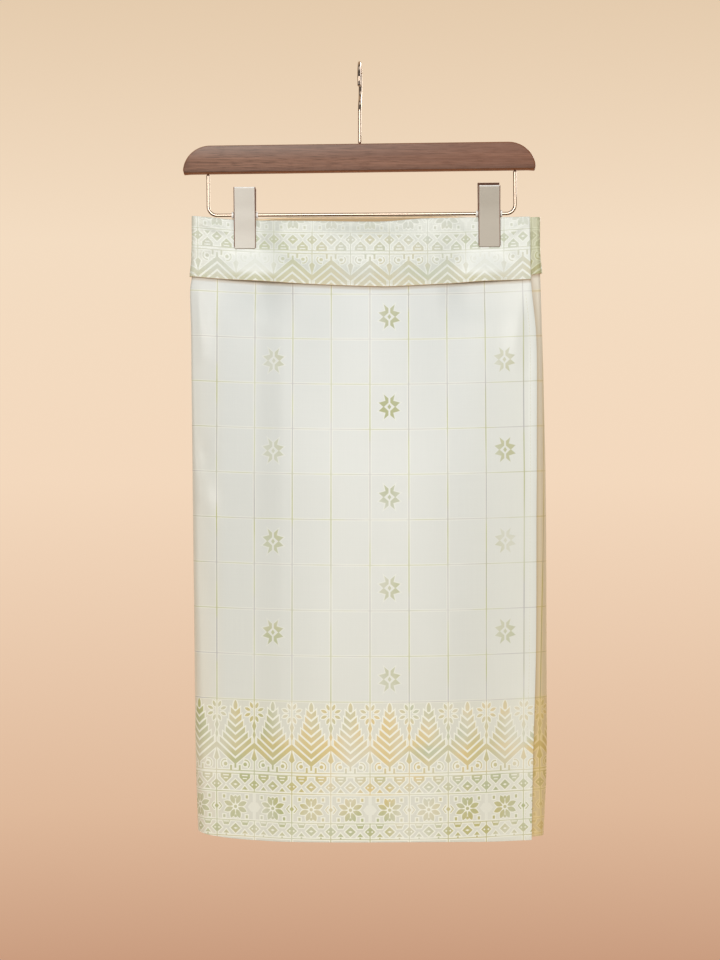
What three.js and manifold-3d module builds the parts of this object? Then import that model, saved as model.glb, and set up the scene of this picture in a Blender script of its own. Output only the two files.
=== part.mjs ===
// A samping (a short wrapped sarong of figured brocade) held by its waistband on a wooden clip hanger.
// Millimetres, +Z up, +X to the right as seen from the front, the front facing -Y.
// The origin is where a rail bears on the inside of the hook.

import * as THREE from 'three';
import { mergeVertices } from 'three/addons/utils/BufferGeometryUtils.js';
import Module from 'manifold-3d';

const wasm = await Module();
wasm.setup();

const { smoothstep, lerp, clamp, degToRad } = THREE.MathUtils;

// ---------------------------------------------------------------- driving dimensions

const clothWall = 1.1;             // one layer of brocade
const layerGap = 0.3;              // air between two layers that lie on each other
const layerStep = clothWall + layerGap;
const seamGap = 0.3;               // between two pieces that meet edge to edge

const bandDeep = 66;               // waistband, from its top fold to its lower fold
const clothLong = 634;             // waist edge to hem
const panelShy = 2;                // the body cloth stops this far under the waistband's top fold
const underEdge = -72;             // hidden left edge of the under lap
const lapSlack = 2;                // extra room between the two laps at the hem

const frontBow = { body: 28, waist: 5 };   // how far the front swings out at the hem and at the waist
const backBow = { body: 20, waist: 3 };
const bowStart = 40;               // the tube is shut down to here, at the foot of the clips
const bowSoft = 0.5;               // how slowly the tube opens below that
const pinchedDepth = (layerStep - seamGap) / 2;

const wireRadius = 1.75;
const hook = { bend: 18.9, tipAngle: 200, heelAngle: -55, straight: 5.94, neckBend: 14, turn: -2 };
const bar = { long: 360.6, high: 28.3, thick: 12, shoulder: 28, edge: 2.4, tilt: 0.75, x: -0.3, z: -109.6 };
const rail = { left: -155, right: 159.1, bend: 9, z: -153.1, tilt: 0.365 };
const clip = { left: -117.5, right: 132.4, wide: 22.5, top: 28, foot: -34.6, sheet: 1, corner: 1.8 };
const barrel = { inner: 2.05, outer: 2.6, collar: 3.4, long: 27, collarLong: 1.8 };
const ear = { outer: 4, hole: 3, thick: 1 };
const jawReach = 17;               // cloth is flat this far each side of a clip's middle
const jawFade = 42;

// Folds and free edge of the wrap, by distance below the waist edge (middle of the cloth's wall).
const outline = [
  { down: 0, leftFold: -170.2, rightFold: 182.9, freeEdge: 173.4, leftRound: 1.6, rightRound: 1.8 },
  { down: 34, leftFold: -170.3, rightFold: 183.0, freeEdge: 174.2, leftRound: 1.7, rightRound: 2.0 },
  { down: 66, leftFold: -171.4, rightFold: 184.2, freeEdge: 174.6, leftRound: 2.0, rightRound: 2.6 },
  { down: 80, leftFold: -173.2, rightFold: 184.9, freeEdge: 176.0, leftRound: 2.2, rightRound: 3.0 },
  { down: 122, leftFold: -172.2, rightFold: 186.2, freeEdge: 180.0, leftRound: 2.6, rightRound: 4.5 },
  { down: 170, leftFold: -171.8, rightFold: 187.7, freeEdge: 180.8, leftRound: 3.0, rightRound: 6.0 },
  { down: 290, leftFold: -170.5, rightFold: 190.2, freeEdge: 179.4, leftRound: 3.6, rightRound: 8.0 },
  { down: 440, leftFold: -168.8, rightFold: 190.9, freeEdge: 178.6, leftRound: 4.2, rightRound: 9.0 },
  { down: 560, leftFold: -167.4, rightFold: 191.0, freeEdge: 174.9, leftRound: 4.6, rightRound: 9.0 },
  { down: 634, leftFold: -165.0, rightFold: 187.8, freeEdge: 173.2, leftRound: 5.0, rightRound: 9.0 },
];

// Heights of the waist edge, the waistband's foot and the hem on each stretch of the wrap.
const frontHeights = [
  { across: -172, top: -155.2, foot: -216.6, hem: -781.3 },
  { across: -150, top: -157.0, foot: -218.6, hem: -785.6 },
  { across: -128, top: -159.2, foot: -220.4, hem: -787.8 },
  { across: -100, top: -160.0, foot: -222.2, hem: -788.9 },
  { across: -60, top: -160.8, foot: -225.2, hem: -788.9 },
  { across: 22, top: -161.8, foot: -228.6, hem: -788.7 },
  { across: 60, top: -158.8, foot: -226.8, hem: -788.8 },
  { across: 100, top: -157.3, foot: -224.4, hem: -789.4 },
  { across: 134, top: -157.0, foot: -222.2, hem: -790.3 },
  { across: 182, top: -156.2, foot: -219.6, hem: -790.3 },
];
const backHeights = [
  { across: -172, top: -155.2, foot: -216.6, hem: -781.3 },
  { across: -150, top: -156.4, foot: -217.8, hem: -782.8 },
  { across: -133, top: -158.2, foot: -218.4, hem: -784.0 },
  { across: -102, top: -158.0, foot: -218.8, hem: -785.2 },
  { across: -84, top: -156.3, foot: -218.8, hem: -785.8 },
  { across: 0, top: -155.4, foot: -218.6, hem: -786.6 },
  { across: 96, top: -154.9, foot: -217.2, hem: -786.8 },
  { across: 116, top: -156.9, foot: -216.4, hem: -787.4 },
  { across: 148, top: -156.9, foot: -215.2, hem: -787.6 },
  { across: 184, top: -156.4, foot: -213.4, hem: -787.5 },
];
const underHeights = [
  { across: -72, top: -162.4, foot: -224.8, hem: -785.8 },
  { across: 22, top: -163.4, foot: -228.6, hem: -785.9 },
  { across: 60, top: -160.6, foot: -226.8, hem: -786.2 },
  { across: 100, top: -158.8, foot: -224.4, hem: -787.0 },
  { across: 146, top: -157.8, foot: -220.4, hem: -787.9 },
  { across: 184, top: -156.4, foot: -213.4, hem: -787.5 },
];

// Grid lines of the cloth: the layers share them, so their faces stay parallel.
const clipCentres = [clip.left, clip.right];
const clipLines = clipCentres.flatMap((centre) => [centre - 15.5, centre, centre + 15.5]);
const evenLines = Array.from({ length: 25 }, (_, k) => -156 + 13.5 * k);
const clearOfClips = (x) => clipLines.every((line) => Math.abs(x - line) > 6);
const stations = [...clipLines, ...evenLines.filter(clearOfClips)].sort((a, b) => a - b);
const foldSteps = 4;
const bandRows = [0, 22, 44, 66];
const bodyRows = [82, 102, 130, 170, 215, 265, 315, 365, 415, 465, 515, 560, 600, 634];

// ---------------------------------------------------------------- materials

const matt = (color, roughness, metalness) =>
  new THREE.MeshStandardMaterial({ color, roughness, metalness });
const brocade = matt(0xdedfd3, 0.55, 0);
const bandCloth = matt(0xdfe1d6, 0.5, 0);
const underCloth = matt(0xcfc7a8, 0.6, 0);
const walnut = matt(0x6b4537, 0.42, 0);
const chrome = matt(0xd6bfb4, 0.14, 1);
const nickel = matt(0xcac1b7, 0.34, 1);

const object = new THREE.Group();
function add(parent, name, geometry, material) {
  const mesh = new THREE.Mesh(geometry, material);
  mesh.name = name;
  parent.add(mesh);
  return mesh;
}

// ---------------------------------------------------------------- general shapes

// Smooth curve through one column of a table, read against its key column.
function curveThrough(table, key, column) {
  const slope = table.map((row, k) => {
    const before = table[Math.max(k - 1, 0)];
    const after = table[Math.min(k + 1, table.length - 1)];
    return (after[column] - before[column]) / (after[key] - before[key]);
  });
  return (value) => {
    const inside = clamp(value, table[0][key], table.at(-1)[key]);
    const k = Math.min(table.findLastIndex((row) => row[key] <= inside), table.length - 2);
    const [a, b] = [table[k], table[k + 1]];
    const span = b[key] - a[key];
    const t = (inside - a[key]) / span;
    const easeOut = (1 + 2 * t) * (1 - t) * (1 - t);
    const easeIn = t * t * (3 - 2 * t);
    const pull = t * (1 - t) * span;
    return easeOut * a[column] + easeIn * b[column] + pull * ((1 - t) * slope[k] - t * slope[k + 1]);
  };
}

function columnsOf(table, key) {
  const names = Object.keys(table[0]).filter((name) => name !== key);
  return Object.fromEntries(names.map((name) => [name, curveThrough(table, key, name)]));
}

// Closed geometry from points and triangles, turned so that its faces point out.
function closedGeometry(points, triangles) {
  let volume = 0;
  for (const [a, b, c] of triangles) {
    volume += points[a].dot(new THREE.Vector3().crossVectors(points[b], points[c]));
  }
  const facing = volume > 0 ? triangles : triangles.map(([a, b, c]) => [a, c, b]);
  const geometry = new THREE.BufferGeometry().setFromPoints(points);
  geometry.setIndex(facing.flat());
  return geometry;
}

function trianglesOf(geometry) {
  const bare = geometry.clone();
  bare.deleteAttribute('normal');
  bare.deleteAttribute('uv');
  return mergeVertices(bare, 1e-4);
}

// Puts a closed geometry's faces the right way out, whichever way its profile was drawn.
function facingOut(geometry) {
  const merged = trianglesOf(geometry);
  const position = merged.getAttribute('position');
  const points = [];
  for (let k = 0; k < position.count; k++) points.push(new THREE.Vector3().fromBufferAttribute(position, k));
  const index = merged.getIndex().array;
  const triangles = [];
  for (let k = 0; k < index.length; k += 3) triangles.push([index[k], index[k + 1], index[k + 2]]);
  return closedGeometry(points, triangles.filter(([a, b, c]) => a !== b && b !== c && c !== a));
}

function toSolid(geometry) {
  const merged = facingOut(geometry);
  return new wasm.Manifold(
    new wasm.Mesh({
      numProp: 3,
      vertProperties: new Float32Array(merged.getAttribute('position').array),
      triVerts: new Uint32Array(merged.getIndex().array),
    })
  );
}

function fromSolid(solid) {
  const mesh = solid.getMesh();
  const geometry = new THREE.BufferGeometry();
  geometry.setAttribute('position', new THREE.Float32BufferAttribute(mesh.vertProperties, 3));
  geometry.setIndex(Array.from(mesh.triVerts));
  return geometry;
}

// ---------------------------------------------------------------- the wrap's form

const shape = columnsOf(outline, 'down');

// 0 at a fold line, 1 once the cloth has turned through a right angle.
function turned(distance, radius) {
  const rest = 1 - clamp(distance / radius, 0, 1);
  return Math.sqrt(1 - rest * rest);
}

// How far the tube has opened below the clips: 0 at their feet, 1 at the hem.
function opening(down) {
  const t = clamp((down - bowStart) / (clothLong - bowStart), 0, 1);
  return (t / (t + bowSoft)) * (1 + bowSoft);
}

// 1 under a clip's jaws, fading to 0 beside and below them.
function pinch(x, down) {
  const beside = Math.min(...clipCentres.map((centre) => Math.abs(x - centre)));
  return (1 - smoothstep(beside, jawReach, jawFade)) * (1 - smoothstep(down, 42, 130));
}

// Depth of the cloth from the plane between front and back.
function halfDepth(x, down, bow) {
  const left = shape.leftFold(down);
  const right = shape.rightFold(down);
  const share = clamp((x - left) / (right - left), 0, 1);
  const leftRound = shape.leftRound(down);
  const rightRound = shape.rightRound(down);
  const turn = turned(x - left, leftRound) * turned(right - x, rightRound);
  const round = lerp(leftRound, rightRound, share) * turn;
  const swing = bow.body * opening(down) * 4 * share * (1 - share);
  const between = clamp((x - clip.left - jawReach) / (clip.right - clip.left - 2 * jawReach), 0, 1);
  const waist = bow.waist * Math.sin(Math.PI * between) ** 2 * (1 - smoothstep(down, 66, 260));
  return lerp(round + swing + waist, pinchedDepth, pinch(x, down));
}

// A stretch of the wrap: facing is -1 in front and 1 behind, heights is its own table.
function stretch(facing, bow, heightTable) {
  const height = columnsOf(heightTable, 'across');
  const point = (column, down) => {
    const x = column.place(down);
    const z =
      down < bandDeep
        ? lerp(height.top(x), height.foot(x), down / bandDeep)
        : lerp(height.foot(x), height.hem(x), (down - bandDeep) / (clothLong - bandDeep));
    return new THREE.Vector3(x, facing * (seamGap / 2 + halfDepth(x, down, bow)), z);
  };
  const normal = (column, down) => {
    const across = new THREE.Vector3().subVectors(point(column.after, down), point(column.before, down));
    const along = new THREE.Vector3().subVectors(point(column, down + 0.5), point(column, down - 0.5));
    return across.cross(along).multiplyScalar(facing).normalize();
  };
  return { point, normal };
}

// Columns of the cloth's grid: at a fold they go by angle, elsewhere by distance across.
const nudge = 0.01;
function foldColumn(side, angle) {
  const at = (turn) => (down) => {
    const round = side < 0 ? shape.leftRound(down) : shape.rightRound(down);
    const fold = side < 0 ? shape.leftFold(down) : shape.rightFold(down);
    return fold - side * round * (1 - Math.cos(turn));
  };
  const ahead = angle + nudge;
  const behind = Math.max(angle - nudge, 0);
  const [before, after] = side < 0 ? [behind, ahead] : [ahead, behind];
  return { place: at(angle), before: { place: at(before) }, after: { place: at(after) } };
}
const lineColumn = (place) => ({
  place,
  before: { place: (down) => place(down) - nudge },
  after: { place: (down) => place(down) + nudge },
});
const foldColumns = (side) =>
  Array.from({ length: foldSteps + 1 }, (_, k) => foldColumn(side, (k / foldSteps) * (Math.PI / 2)));
const leftTurn = foldColumns(-1);
const rightTurn = foldColumns(1).reverse();
const lines = (from, to) => stations.filter((x) => x > from && x < to).map((x) => lineColumn(() => x));

const frontColumns = [...leftTurn, ...lines(-160, 170), lineColumn(shape.freeEdge)];
const backColumns = [...leftTurn, ...lines(-160, 175), ...rightTurn];
const underColumns = [lineColumn(() => underEdge), ...lines(underEdge + 4, 175), ...rightTurn];

// How far the front lap is carried out over the under lap and its waistband.
function lapLift(x, down) {
  const reach = smoothstep(x, underEdge - 33, underEdge - 4);
  const overBand = 1 - smoothstep(down, bandDeep - 2, bandDeep + 34);
  return reach * (layerStep * (1 + overBand) + (lapSlack * down) / clothLong);
}

// A wall of cloth on a stretch of the wrap, lifted out from its points.
function clothSheet(form, columns, rows, lift) {
  const points = [];
  for (const faceOffset of [clothWall / 2, -clothWall / 2]) {
    for (const column of columns) {
      for (const down of rows) {
        const out = lift(column.place(down), down) + faceOffset;
        points.push(form.point(column, down).addScaledVector(form.normal(column, down), out));
      }
    }
  }
  const [wide, high] = [columns.length, rows.length];
  const at = (face, i, j) => face * wide * high + i * high + j;
  const triangles = [];
  const quad = (a, b, c, d) => triangles.push([a, b, c], [a, c, d]);
  for (let i = 0; i < wide - 1; i++) {
    for (let j = 0; j < high - 1; j++) {
      quad(at(0, i, j), at(0, i, j + 1), at(0, i + 1, j + 1), at(0, i + 1, j));
      quad(at(1, i, j), at(1, i + 1, j), at(1, i + 1, j + 1), at(1, i, j + 1));
    }
    quad(at(0, i, 0), at(0, i + 1, 0), at(1, i + 1, 0), at(1, i, 0));
    quad(at(0, i, high - 1), at(1, i, high - 1), at(1, i + 1, high - 1), at(0, i + 1, high - 1));
  }
  for (let j = 0; j < high - 1; j++) {
    quad(at(0, 0, j), at(1, 0, j), at(1, 0, j + 1), at(0, 0, j + 1));
    quad(at(0, wide - 1, j), at(0, wide - 1, j + 1), at(1, wide - 1, j + 1), at(1, wide - 1, j));
  }
  return closedGeometry(points, triangles);
}

const front = stretch(-1, frontBow, frontHeights);
const under = stretch(-1, frontBow, underHeights);
const back = stretch(1, backBow, backHeights);
const panelRows = [panelShy, ...bandRows.slice(1), ...bodyRows];
const flat = () => 0;
const onPanel = () => layerStep;

add(object, 'front_lap', clothSheet(front, frontColumns, panelRows, lapLift), brocade);
add(object, 'back_body', clothSheet(back, backColumns, panelRows, flat), brocade);
add(object, 'under_lap', clothSheet(under, underColumns, panelRows, flat), underCloth);
add(
  object,
  'front_waistband',
  clothSheet(front, frontColumns, bandRows, (x, down) => lapLift(x, down) + layerStep),
  bandCloth
);
add(object, 'back_waistband', clothSheet(back, backColumns, bandRows, onPanel), bandCloth);
add(object, 'under_waistband', clothSheet(under, underColumns, bandRows, onPanel), underCloth);

// ---------------------------------------------------------------- hanger: bar

const onSlope = (x, place) => place.z + Math.tan(degToRad(place.tilt)) * (x - (place.x ?? 0));

// Long board with a flat foot and rounded shoulders, its long edges eased.
function barGeometry() {
  const half = bar.long / 2 - bar.edge;
  const high = bar.high - bar.edge;
  const shoulder = bar.shoulder - bar.edge;
  const board = new THREE.Shape();
  board.moveTo(-half, bar.edge);
  board.lineTo(half, bar.edge);
  board.absellipse(half - shoulder, bar.edge, shoulder, high - bar.edge, 0, Math.PI / 2, false);
  board.absellipse(shoulder - half, bar.edge, shoulder, high - bar.edge, Math.PI / 2, Math.PI, false);
  const geometry = new THREE.ExtrudeGeometry(board, {
    depth: bar.thick - 2 * bar.edge,
    bevelThickness: bar.edge,
    bevelSize: bar.edge,
    bevelSegments: 3,
    curveSegments: 6,
  });
  geometry.translate(0, 0, -(bar.thick - 2 * bar.edge) / 2);
  geometry.rotateX(Math.PI / 2);
  return facingOut(geometry);
}
const barGroup = new THREE.Group();
barGroup.position.set(bar.x, 0, bar.z);
barGroup.rotation.y = -degToRad(bar.tilt);
object.add(barGroup);
add(barGroup, 'hanger_bar', barGeometry(), walnut);

// ---------------------------------------------------------------- hanger: bent wire

// A run of wire through its knots, stepped from knot to knot so that bends get the short steps.
class WireRun extends THREE.Curve {
  constructor(knots) {
    super();
    this.knots = knots;
  }
  getPoint(t, target = new THREE.Vector3()) {
    const place = t * (this.knots.length - 1);
    const k = Math.min(Math.floor(place + 1e-6), this.knots.length - 2);
    return target.lerpVectors(this.knots[k], this.knots[k + 1], place - k);
  }
  getPointAt(u, target) {
    return this.getPoint(u, target);
  }
  getTangentAt(u, target = new THREE.Vector3()) {
    const k = Math.round(u * (this.knots.length - 1));
    const before = this.knots[Math.max(k - 1, 0)];
    const after = this.knots[Math.min(k + 1, this.knots.length - 1)];
    const here = this.knots[k];
    const arriving = new THREE.Vector3().subVectors(here, before).normalize();
    const leaving = new THREE.Vector3().subVectors(after, here).normalize();
    return target.addVectors(arriving, leaving).normalize();
  }
}

function wireAlong(knots, sides) {
  const ring = Array.from({ length: sides }, (_, k) => {
    const angle = (2 * Math.PI * (k + 0.5)) / sides;
    return new THREE.Vector2(wireRadius * Math.cos(angle), wireRadius * Math.sin(angle));
  });
  return new THREE.ExtrudeGeometry(new THREE.Shape(ring), {
    steps: knots.length - 1,
    extrudePath: new WireRun(knots),
    bevelEnabled: false,
  });
}

// Knots of an arc in a plane: place() makes a point from across and up.
function arcKnots(centre, radius, fromDeg, toDeg, stepDeg, place) {
  const count = Math.max(2, Math.round(Math.abs(toDeg - fromDeg) / stepDeg));
  return Array.from({ length: count + 1 }, (_, k) => {
    const angle = degToRad(lerp(fromDeg, toDeg, k / count));
    return place(centre.x + radius * Math.cos(angle), centre.y + radius * Math.sin(angle));
  });
}

// The hook, drawn in its own plane: over the rail, round behind it and back to the stem's line.
function hookGeometry() {
  const place = (across, up) => new THREE.Vector3(0, across, up);
  const crown = new THREE.Vector2(0, wireRadius - hook.bend);
  const loop = arcKnots(crown, hook.bend, hook.tipAngle, hook.heelAngle, 12, place);
  const heel = loop.at(-1);
  const lean = degToRad(-hook.heelAngle);
  const runEnd = place(heel.y - hook.straight * Math.sin(lean), heel.z - hook.straight * Math.cos(lean));
  const neckX = runEnd.y - hook.neckBend * (1 - Math.cos(lean));
  const neck = new THREE.Vector2(neckX + hook.neckBend, runEnd.z - hook.neckBend * Math.sin(lean));
  const neckLoop = arcKnots(neck, hook.neckBend, 180 + hook.heelAngle, 180, 11, place);
  const foot = bar.z + bar.high + seamGap;
  const knots = [...loop, ...neckLoop, place(neckX, foot)];
  const tip = new THREE.SphereGeometry(wireRadius * 1.02, 10, 8);
  tip.translate(loop[0].x, loop[0].y, loop[0].z);
  return fromSolid(toSolid(wireAlong(knots, 10)).add(toSolid(tip)));
}
const hookMesh = add(object, 'hook', hookGeometry(), chrome);
hookMesh.rotation.z = degToRad(hook.turn);

// The rail the clips ride on: two legs from the bar and a cross run between them.
const railMiddle = (rail.left + rail.right) / 2;
const railHalf = (rail.right - rail.left) / 2;
function railGeometry() {
  const place = (across, up) => new THREE.Vector3(across, 0, up);
  const legTop = (x) => onSlope(x, bar) - seamGap - onSlope(x, { ...rail, x: railMiddle });
  const corner = (side) => new THREE.Vector2(side * (railHalf - rail.bend), rail.bend);
  const knots = [
    place(-railHalf, legTop(rail.left)),
    ...arcKnots(corner(-1), rail.bend, 180, 270, 15, place),
    ...arcKnots(corner(1), rail.bend, 270, 360, 15, place),
    place(railHalf, legTop(rail.right)),
  ];
  return facingOut(wireAlong(knots, 10));
}
const railGroup = new THREE.Group();
railGroup.position.set(railMiddle, 0, rail.z);
railGroup.rotation.y = -degToRad(rail.tilt);
object.add(railGroup);
add(railGroup, 'clip_rail', railGeometry(), chrome);

// ---------------------------------------------------------------- hanger: clips

// Outline of bent sheet metal: its middle line, widened by its thickness.
function sheetShape(line, thickness) {
  const runs = line.slice(1).map((point, k) => new THREE.Vector2().subVectors(point, line[k]).normalize());
  const side = (sign) =>
    line.map((point, k) => {
      const arriving = runs[Math.max(k - 1, 0)];
      const leaving = runs[Math.min(k, runs.length - 1)];
      const along = new THREE.Vector2().addVectors(arriving, leaving).normalize();
      const reach = (sign * thickness) / 2 / along.dot(leaving);
      return new THREE.Vector2(point.x - along.y * reach, point.y + along.x * reach);
    });
  return new THREE.Shape([...side(1), ...side(-1).reverse()]);
}

// Extrudes a shape drawn in depth and height across the clip's width, centred on x.
function acrossClip(section, thick, x) {
  const settings = { depth: thick, bevelEnabled: false, curveSegments: 6 };
  const geometry = new THREE.ExtrudeGeometry(section, settings);
  geometry.translate(0, 0, -thick / 2);
  geometry.applyMatrix4(new THREE.Matrix4().set(0, 0, 1, x, 1, 0, 0, 0, 0, 1, 0, 0, 0, 0, 0, 1));
  return geometry;
}

// One plate of a clip: finger tab above the rail, jaw below it, two ears round the barrel.
function plateGeometry(facing, jaw, earPlace) {
  const jawLine = jaw + clip.sheet / 2;
  const waistLine = Math.max(jawLine, ear.outer + 1.2);
  const line = [
    [jawLine, clip.foot],
    [jawLine, -13],
    [waistLine, -5],
    [waistLine + 0.6, 6],
    [waistLine + 3.2, clip.top - 1.6],
    [waistLine + 2.9, clip.top - 0.7],
    [waistLine + 1.9, clip.top - 0.4],
    [waistLine - 0.6, clip.top - 0.5],
  ].map(([depth, up]) => new THREE.Vector2(depth, up));
  const round = new THREE.Shape();
  const [wide, low, high, corner] = [clip.wide / 2, clip.foot, clip.top + 1, clip.corner];
  round.moveTo(-wide, high);
  round.lineTo(-wide, low + corner);
  round.absarc(corner - wide, low + corner, corner, Math.PI, 1.5 * Math.PI, false);
  round.absarc(wide - corner, low + corner, corner, 1.5 * Math.PI, 2 * Math.PI, false);
  round.lineTo(wide, high);
  const window = new THREE.ExtrudeGeometry(round, { depth: 40, bevelEnabled: false, curveSegments: 3 });
  window.translate(0, 0, -20);
  window.rotateX(Math.PI / 2);
  let plate = toSolid(acrossClip(sheetShape(line, clip.sheet), clip.wide, 0)).intersect(toSolid(window));

  const lobe = new THREE.Shape();
  lobe.moveTo(waistLine, -ear.outer);
  lobe.lineTo(waistLine, ear.outer);
  lobe.absarc(0, 0, ear.outer, Math.PI / 2, 1.5 * Math.PI, false);
  lobe.holes.push(new THREE.Path().absarc(0, 0, ear.hole, 0, 2 * Math.PI, true));
  for (const side of [-1, 1]) {
    plate = plate.add(toSolid(acrossClip(lobe, ear.thick, side * earPlace)));
  }
  return facingOut(fromSolid(plate).scale(1, facing, 1));
}

// Sleeve on the rail that the ears turn on, with a collar at each end.
function barrelGeometry() {
  const half = barrel.long / 2;
  const neck = half - barrel.collarLong;
  const profile = [
    [barrel.inner, -half],
    [barrel.collar, -half],
    [barrel.collar, -neck],
    [barrel.outer, -neck],
    [barrel.outer, neck],
    [barrel.collar, neck],
    [barrel.collar, half],
    [barrel.inner, half],
    [barrel.inner, -half],
  ].map(([radius, up]) => new THREE.Vector2(radius, up));
  return facingOut(new THREE.LatheGeometry(profile, 16).rotateZ(Math.PI / 2));
}

const bandStack = pinchedDepth + seamGap / 2 + layerStep + clothWall / 2 + layerGap;
const clips = [
  { side: 'left', x: clip.left, frontJaw: bandStack },
  { side: 'right', x: clip.right, frontJaw: bandStack + 2 * layerStep },
];
const outerEar = clip.wide / 2 - ear.thick / 2;
const innerEar = outerEar - ear.thick - 0.6;
for (const { side, x, frontJaw } of clips) {
  const group = new THREE.Group();
  group.position.set((x - railMiddle) / Math.cos(degToRad(rail.tilt)), 0, 0);
  railGroup.add(group);
  add(group, `clip_${side}_front_plate`, plateGeometry(-1, frontJaw, outerEar), nickel);
  add(group, `clip_${side}_back_plate`, plateGeometry(1, bandStack, innerEar), nickel);
  add(group, `clip_${side}_barrel`, barrelGeometry(), chrome);
}

export default object;
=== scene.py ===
import math
import bmesh
import bpy
import numpy as np
from mathutils import Matrix, Vector


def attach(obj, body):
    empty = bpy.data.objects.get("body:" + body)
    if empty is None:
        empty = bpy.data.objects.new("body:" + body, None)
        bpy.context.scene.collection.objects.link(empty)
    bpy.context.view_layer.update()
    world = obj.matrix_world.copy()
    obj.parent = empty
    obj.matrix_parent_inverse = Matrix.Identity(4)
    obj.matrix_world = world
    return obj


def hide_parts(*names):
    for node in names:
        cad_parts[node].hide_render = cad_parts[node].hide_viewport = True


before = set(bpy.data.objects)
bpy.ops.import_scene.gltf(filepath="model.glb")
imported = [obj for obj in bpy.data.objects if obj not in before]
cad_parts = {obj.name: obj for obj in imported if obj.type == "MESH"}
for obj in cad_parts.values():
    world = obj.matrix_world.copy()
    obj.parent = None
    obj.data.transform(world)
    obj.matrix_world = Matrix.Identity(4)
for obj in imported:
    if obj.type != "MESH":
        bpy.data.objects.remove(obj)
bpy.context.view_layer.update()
mm = 0.001
scene = bpy.context.scene
scene.view_settings.view_transform = "Standard"

# ---- shader arithmetic: a Value is a number that varies over the surface


class Value:
    def __init__(self, tree, socket):
        self.tree = tree
        self.socket = socket

    def math(self, operation, *others, clamp=False):
        node = self.tree.nodes.new("ShaderNodeMath")
        node.operation = operation
        node.use_clamp = clamp
        for place, item in enumerate((self, *others)):
            if isinstance(item, Value):
                self.tree.links.new(item.socket, node.inputs[place])
            else:
                node.inputs[place].default_value = item
        return Value(self.tree, node.outputs[0])

    def __add__(self, other):
        return self.math("ADD", other)

    def __sub__(self, other):
        return self.math("SUBTRACT", other)

    def __rsub__(self, other):
        return self.math("MULTIPLY_ADD", -1.0, other)

    def __mul__(self, other):
        return self.math("MULTIPLY", other)

    def __truediv__(self, other):
        return self.math("DIVIDE", other)

    def __neg__(self):
        return self.math("MULTIPLY", -1.0)

    def __abs__(self):
        return self.math("ABSOLUTE")

    def floor(self):
        return self.math("FLOOR")

    def within(self, low, high):
        return self.math("MAXIMUM", low).math("MINIMUM", high)

    def wrapped(self, period):  # runs from minus half a period to plus half
        return self.math("WRAP", period / 2, -period / 2)

    def filled(self, soft):  # 1 where a signed distance is inside, 0 outside
        return self.math("MULTIPLY_ADD", -1 / soft, 0.5, clamp=True)


def either(first, *rest):
    for item in rest:
        first = first.math("MINIMUM", item)
    return first


def both(first, *rest):
    for item in rest:
        first = first.math("MAXIMUM", item)
    return first


def hypot(across, up):
    return (across * across + up * up).math("SQRT")


def newGroup(name, inputs, outputs):
    tree = bpy.data.node_groups.new(name, "ShaderNodeTree")
    for label, kind, default in inputs:
        socket = tree.interface.new_socket(label, in_out="INPUT", socket_type=kind)
        if default is not None:
            socket.default_value = default
    for label, kind in outputs:
        tree.interface.new_socket(label, in_out="OUTPUT", socket_type=kind)
    start = tree.nodes.new("NodeGroupInput")
    end = tree.nodes.new("NodeGroupOutput")
    return tree, start, end


def link(tree, source, target):
    tree.links.new(source.socket if isinstance(source, Value) else source, target)


def splitPlace(tree, place):
    split = tree.nodes.new("ShaderNodeSeparateXYZ")
    tree.links.new(place, split.inputs[0])
    return [Value(tree, split.outputs[axis]) for axis in "XYZ"]


def readAttribute(tree, name):
    node = tree.nodes.new("ShaderNodeAttribute")
    node.attribute_name = name
    return Value(tree, node.outputs["Fac"])


def stretchedNoise(tree, place, scale, detail=2, shift=(0, 0, 0), dimensions="3D"):
    mapping = tree.nodes.new("ShaderNodeMapping")
    mapping.inputs["Scale"].default_value = scale
    mapping.inputs["Location"].default_value = shift
    tree.links.new(place, mapping.inputs["Vector"])
    noise = tree.nodes.new("ShaderNodeTexNoise")
    noise.noise_dimensions = dimensions
    noise.inputs["Scale"].default_value = 1
    noise.inputs["Detail"].default_value = detail
    tree.links.new(mapping.outputs[0], noise.inputs["Vector"])
    return Value(tree, noise.outputs["Fac"])


def spread(value, low, high):  # 0 at the low end, 1 at the high end, straight between
    return value.math("MULTIPLY_ADD", 1 / (high - low), -low / (high - low), clamp=True)


def spreadSoftly(value, low, high):  # the same, easing in and out
    node = value.tree.nodes.new("ShaderNodeMapRange")
    node.interpolation_type = "SMOOTHSTEP"
    node.inputs["From Min"].default_value = low
    node.inputs["From Max"].default_value = high
    link(value.tree, value, node.inputs["Value"])
    return Value(value.tree, node.outputs[0])


def mixColour(tree, factor, first, second):
    node = tree.nodes.new("ShaderNodeMix")
    node.data_type = "RGBA"
    link(tree, factor, node.inputs[0])
    for colour, socket in ((first, node.inputs[6]), (second, node.inputs[7])):
        if isinstance(colour, tuple):
            socket.default_value = (*colour, 1)
        else:
            tree.links.new(colour, socket)
    return node.outputs[2]


def newMaterial(name, settings):
    material = bpy.data.materials.new(name)
    material.use_nodes = True
    shader = material.node_tree.nodes["Principled BSDF"]
    for socket, value in settings.items():
        shader.inputs[socket].default_value = value
    return material, material.node_tree, shader


def plainMaterial(name, colour, roughness, metallic=0.0):
    settings = {"Base Color": (*colour, 1), "Roughness": roughness, "Metallic": metallic}
    return newMaterial(name, settings)[0]


def bumpInto(tree, shader, height, distance, strength):
    bump = tree.nodes.new("ShaderNodeBump")
    bump.inputs["Distance"].default_value = distance
    bump.inputs["Strength"].default_value = strength
    link(tree, height, bump.inputs["Height"])
    tree.links.new(bump.outputs[0], shader.inputs["Normal"])


# ---- camera, floor and light

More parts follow.
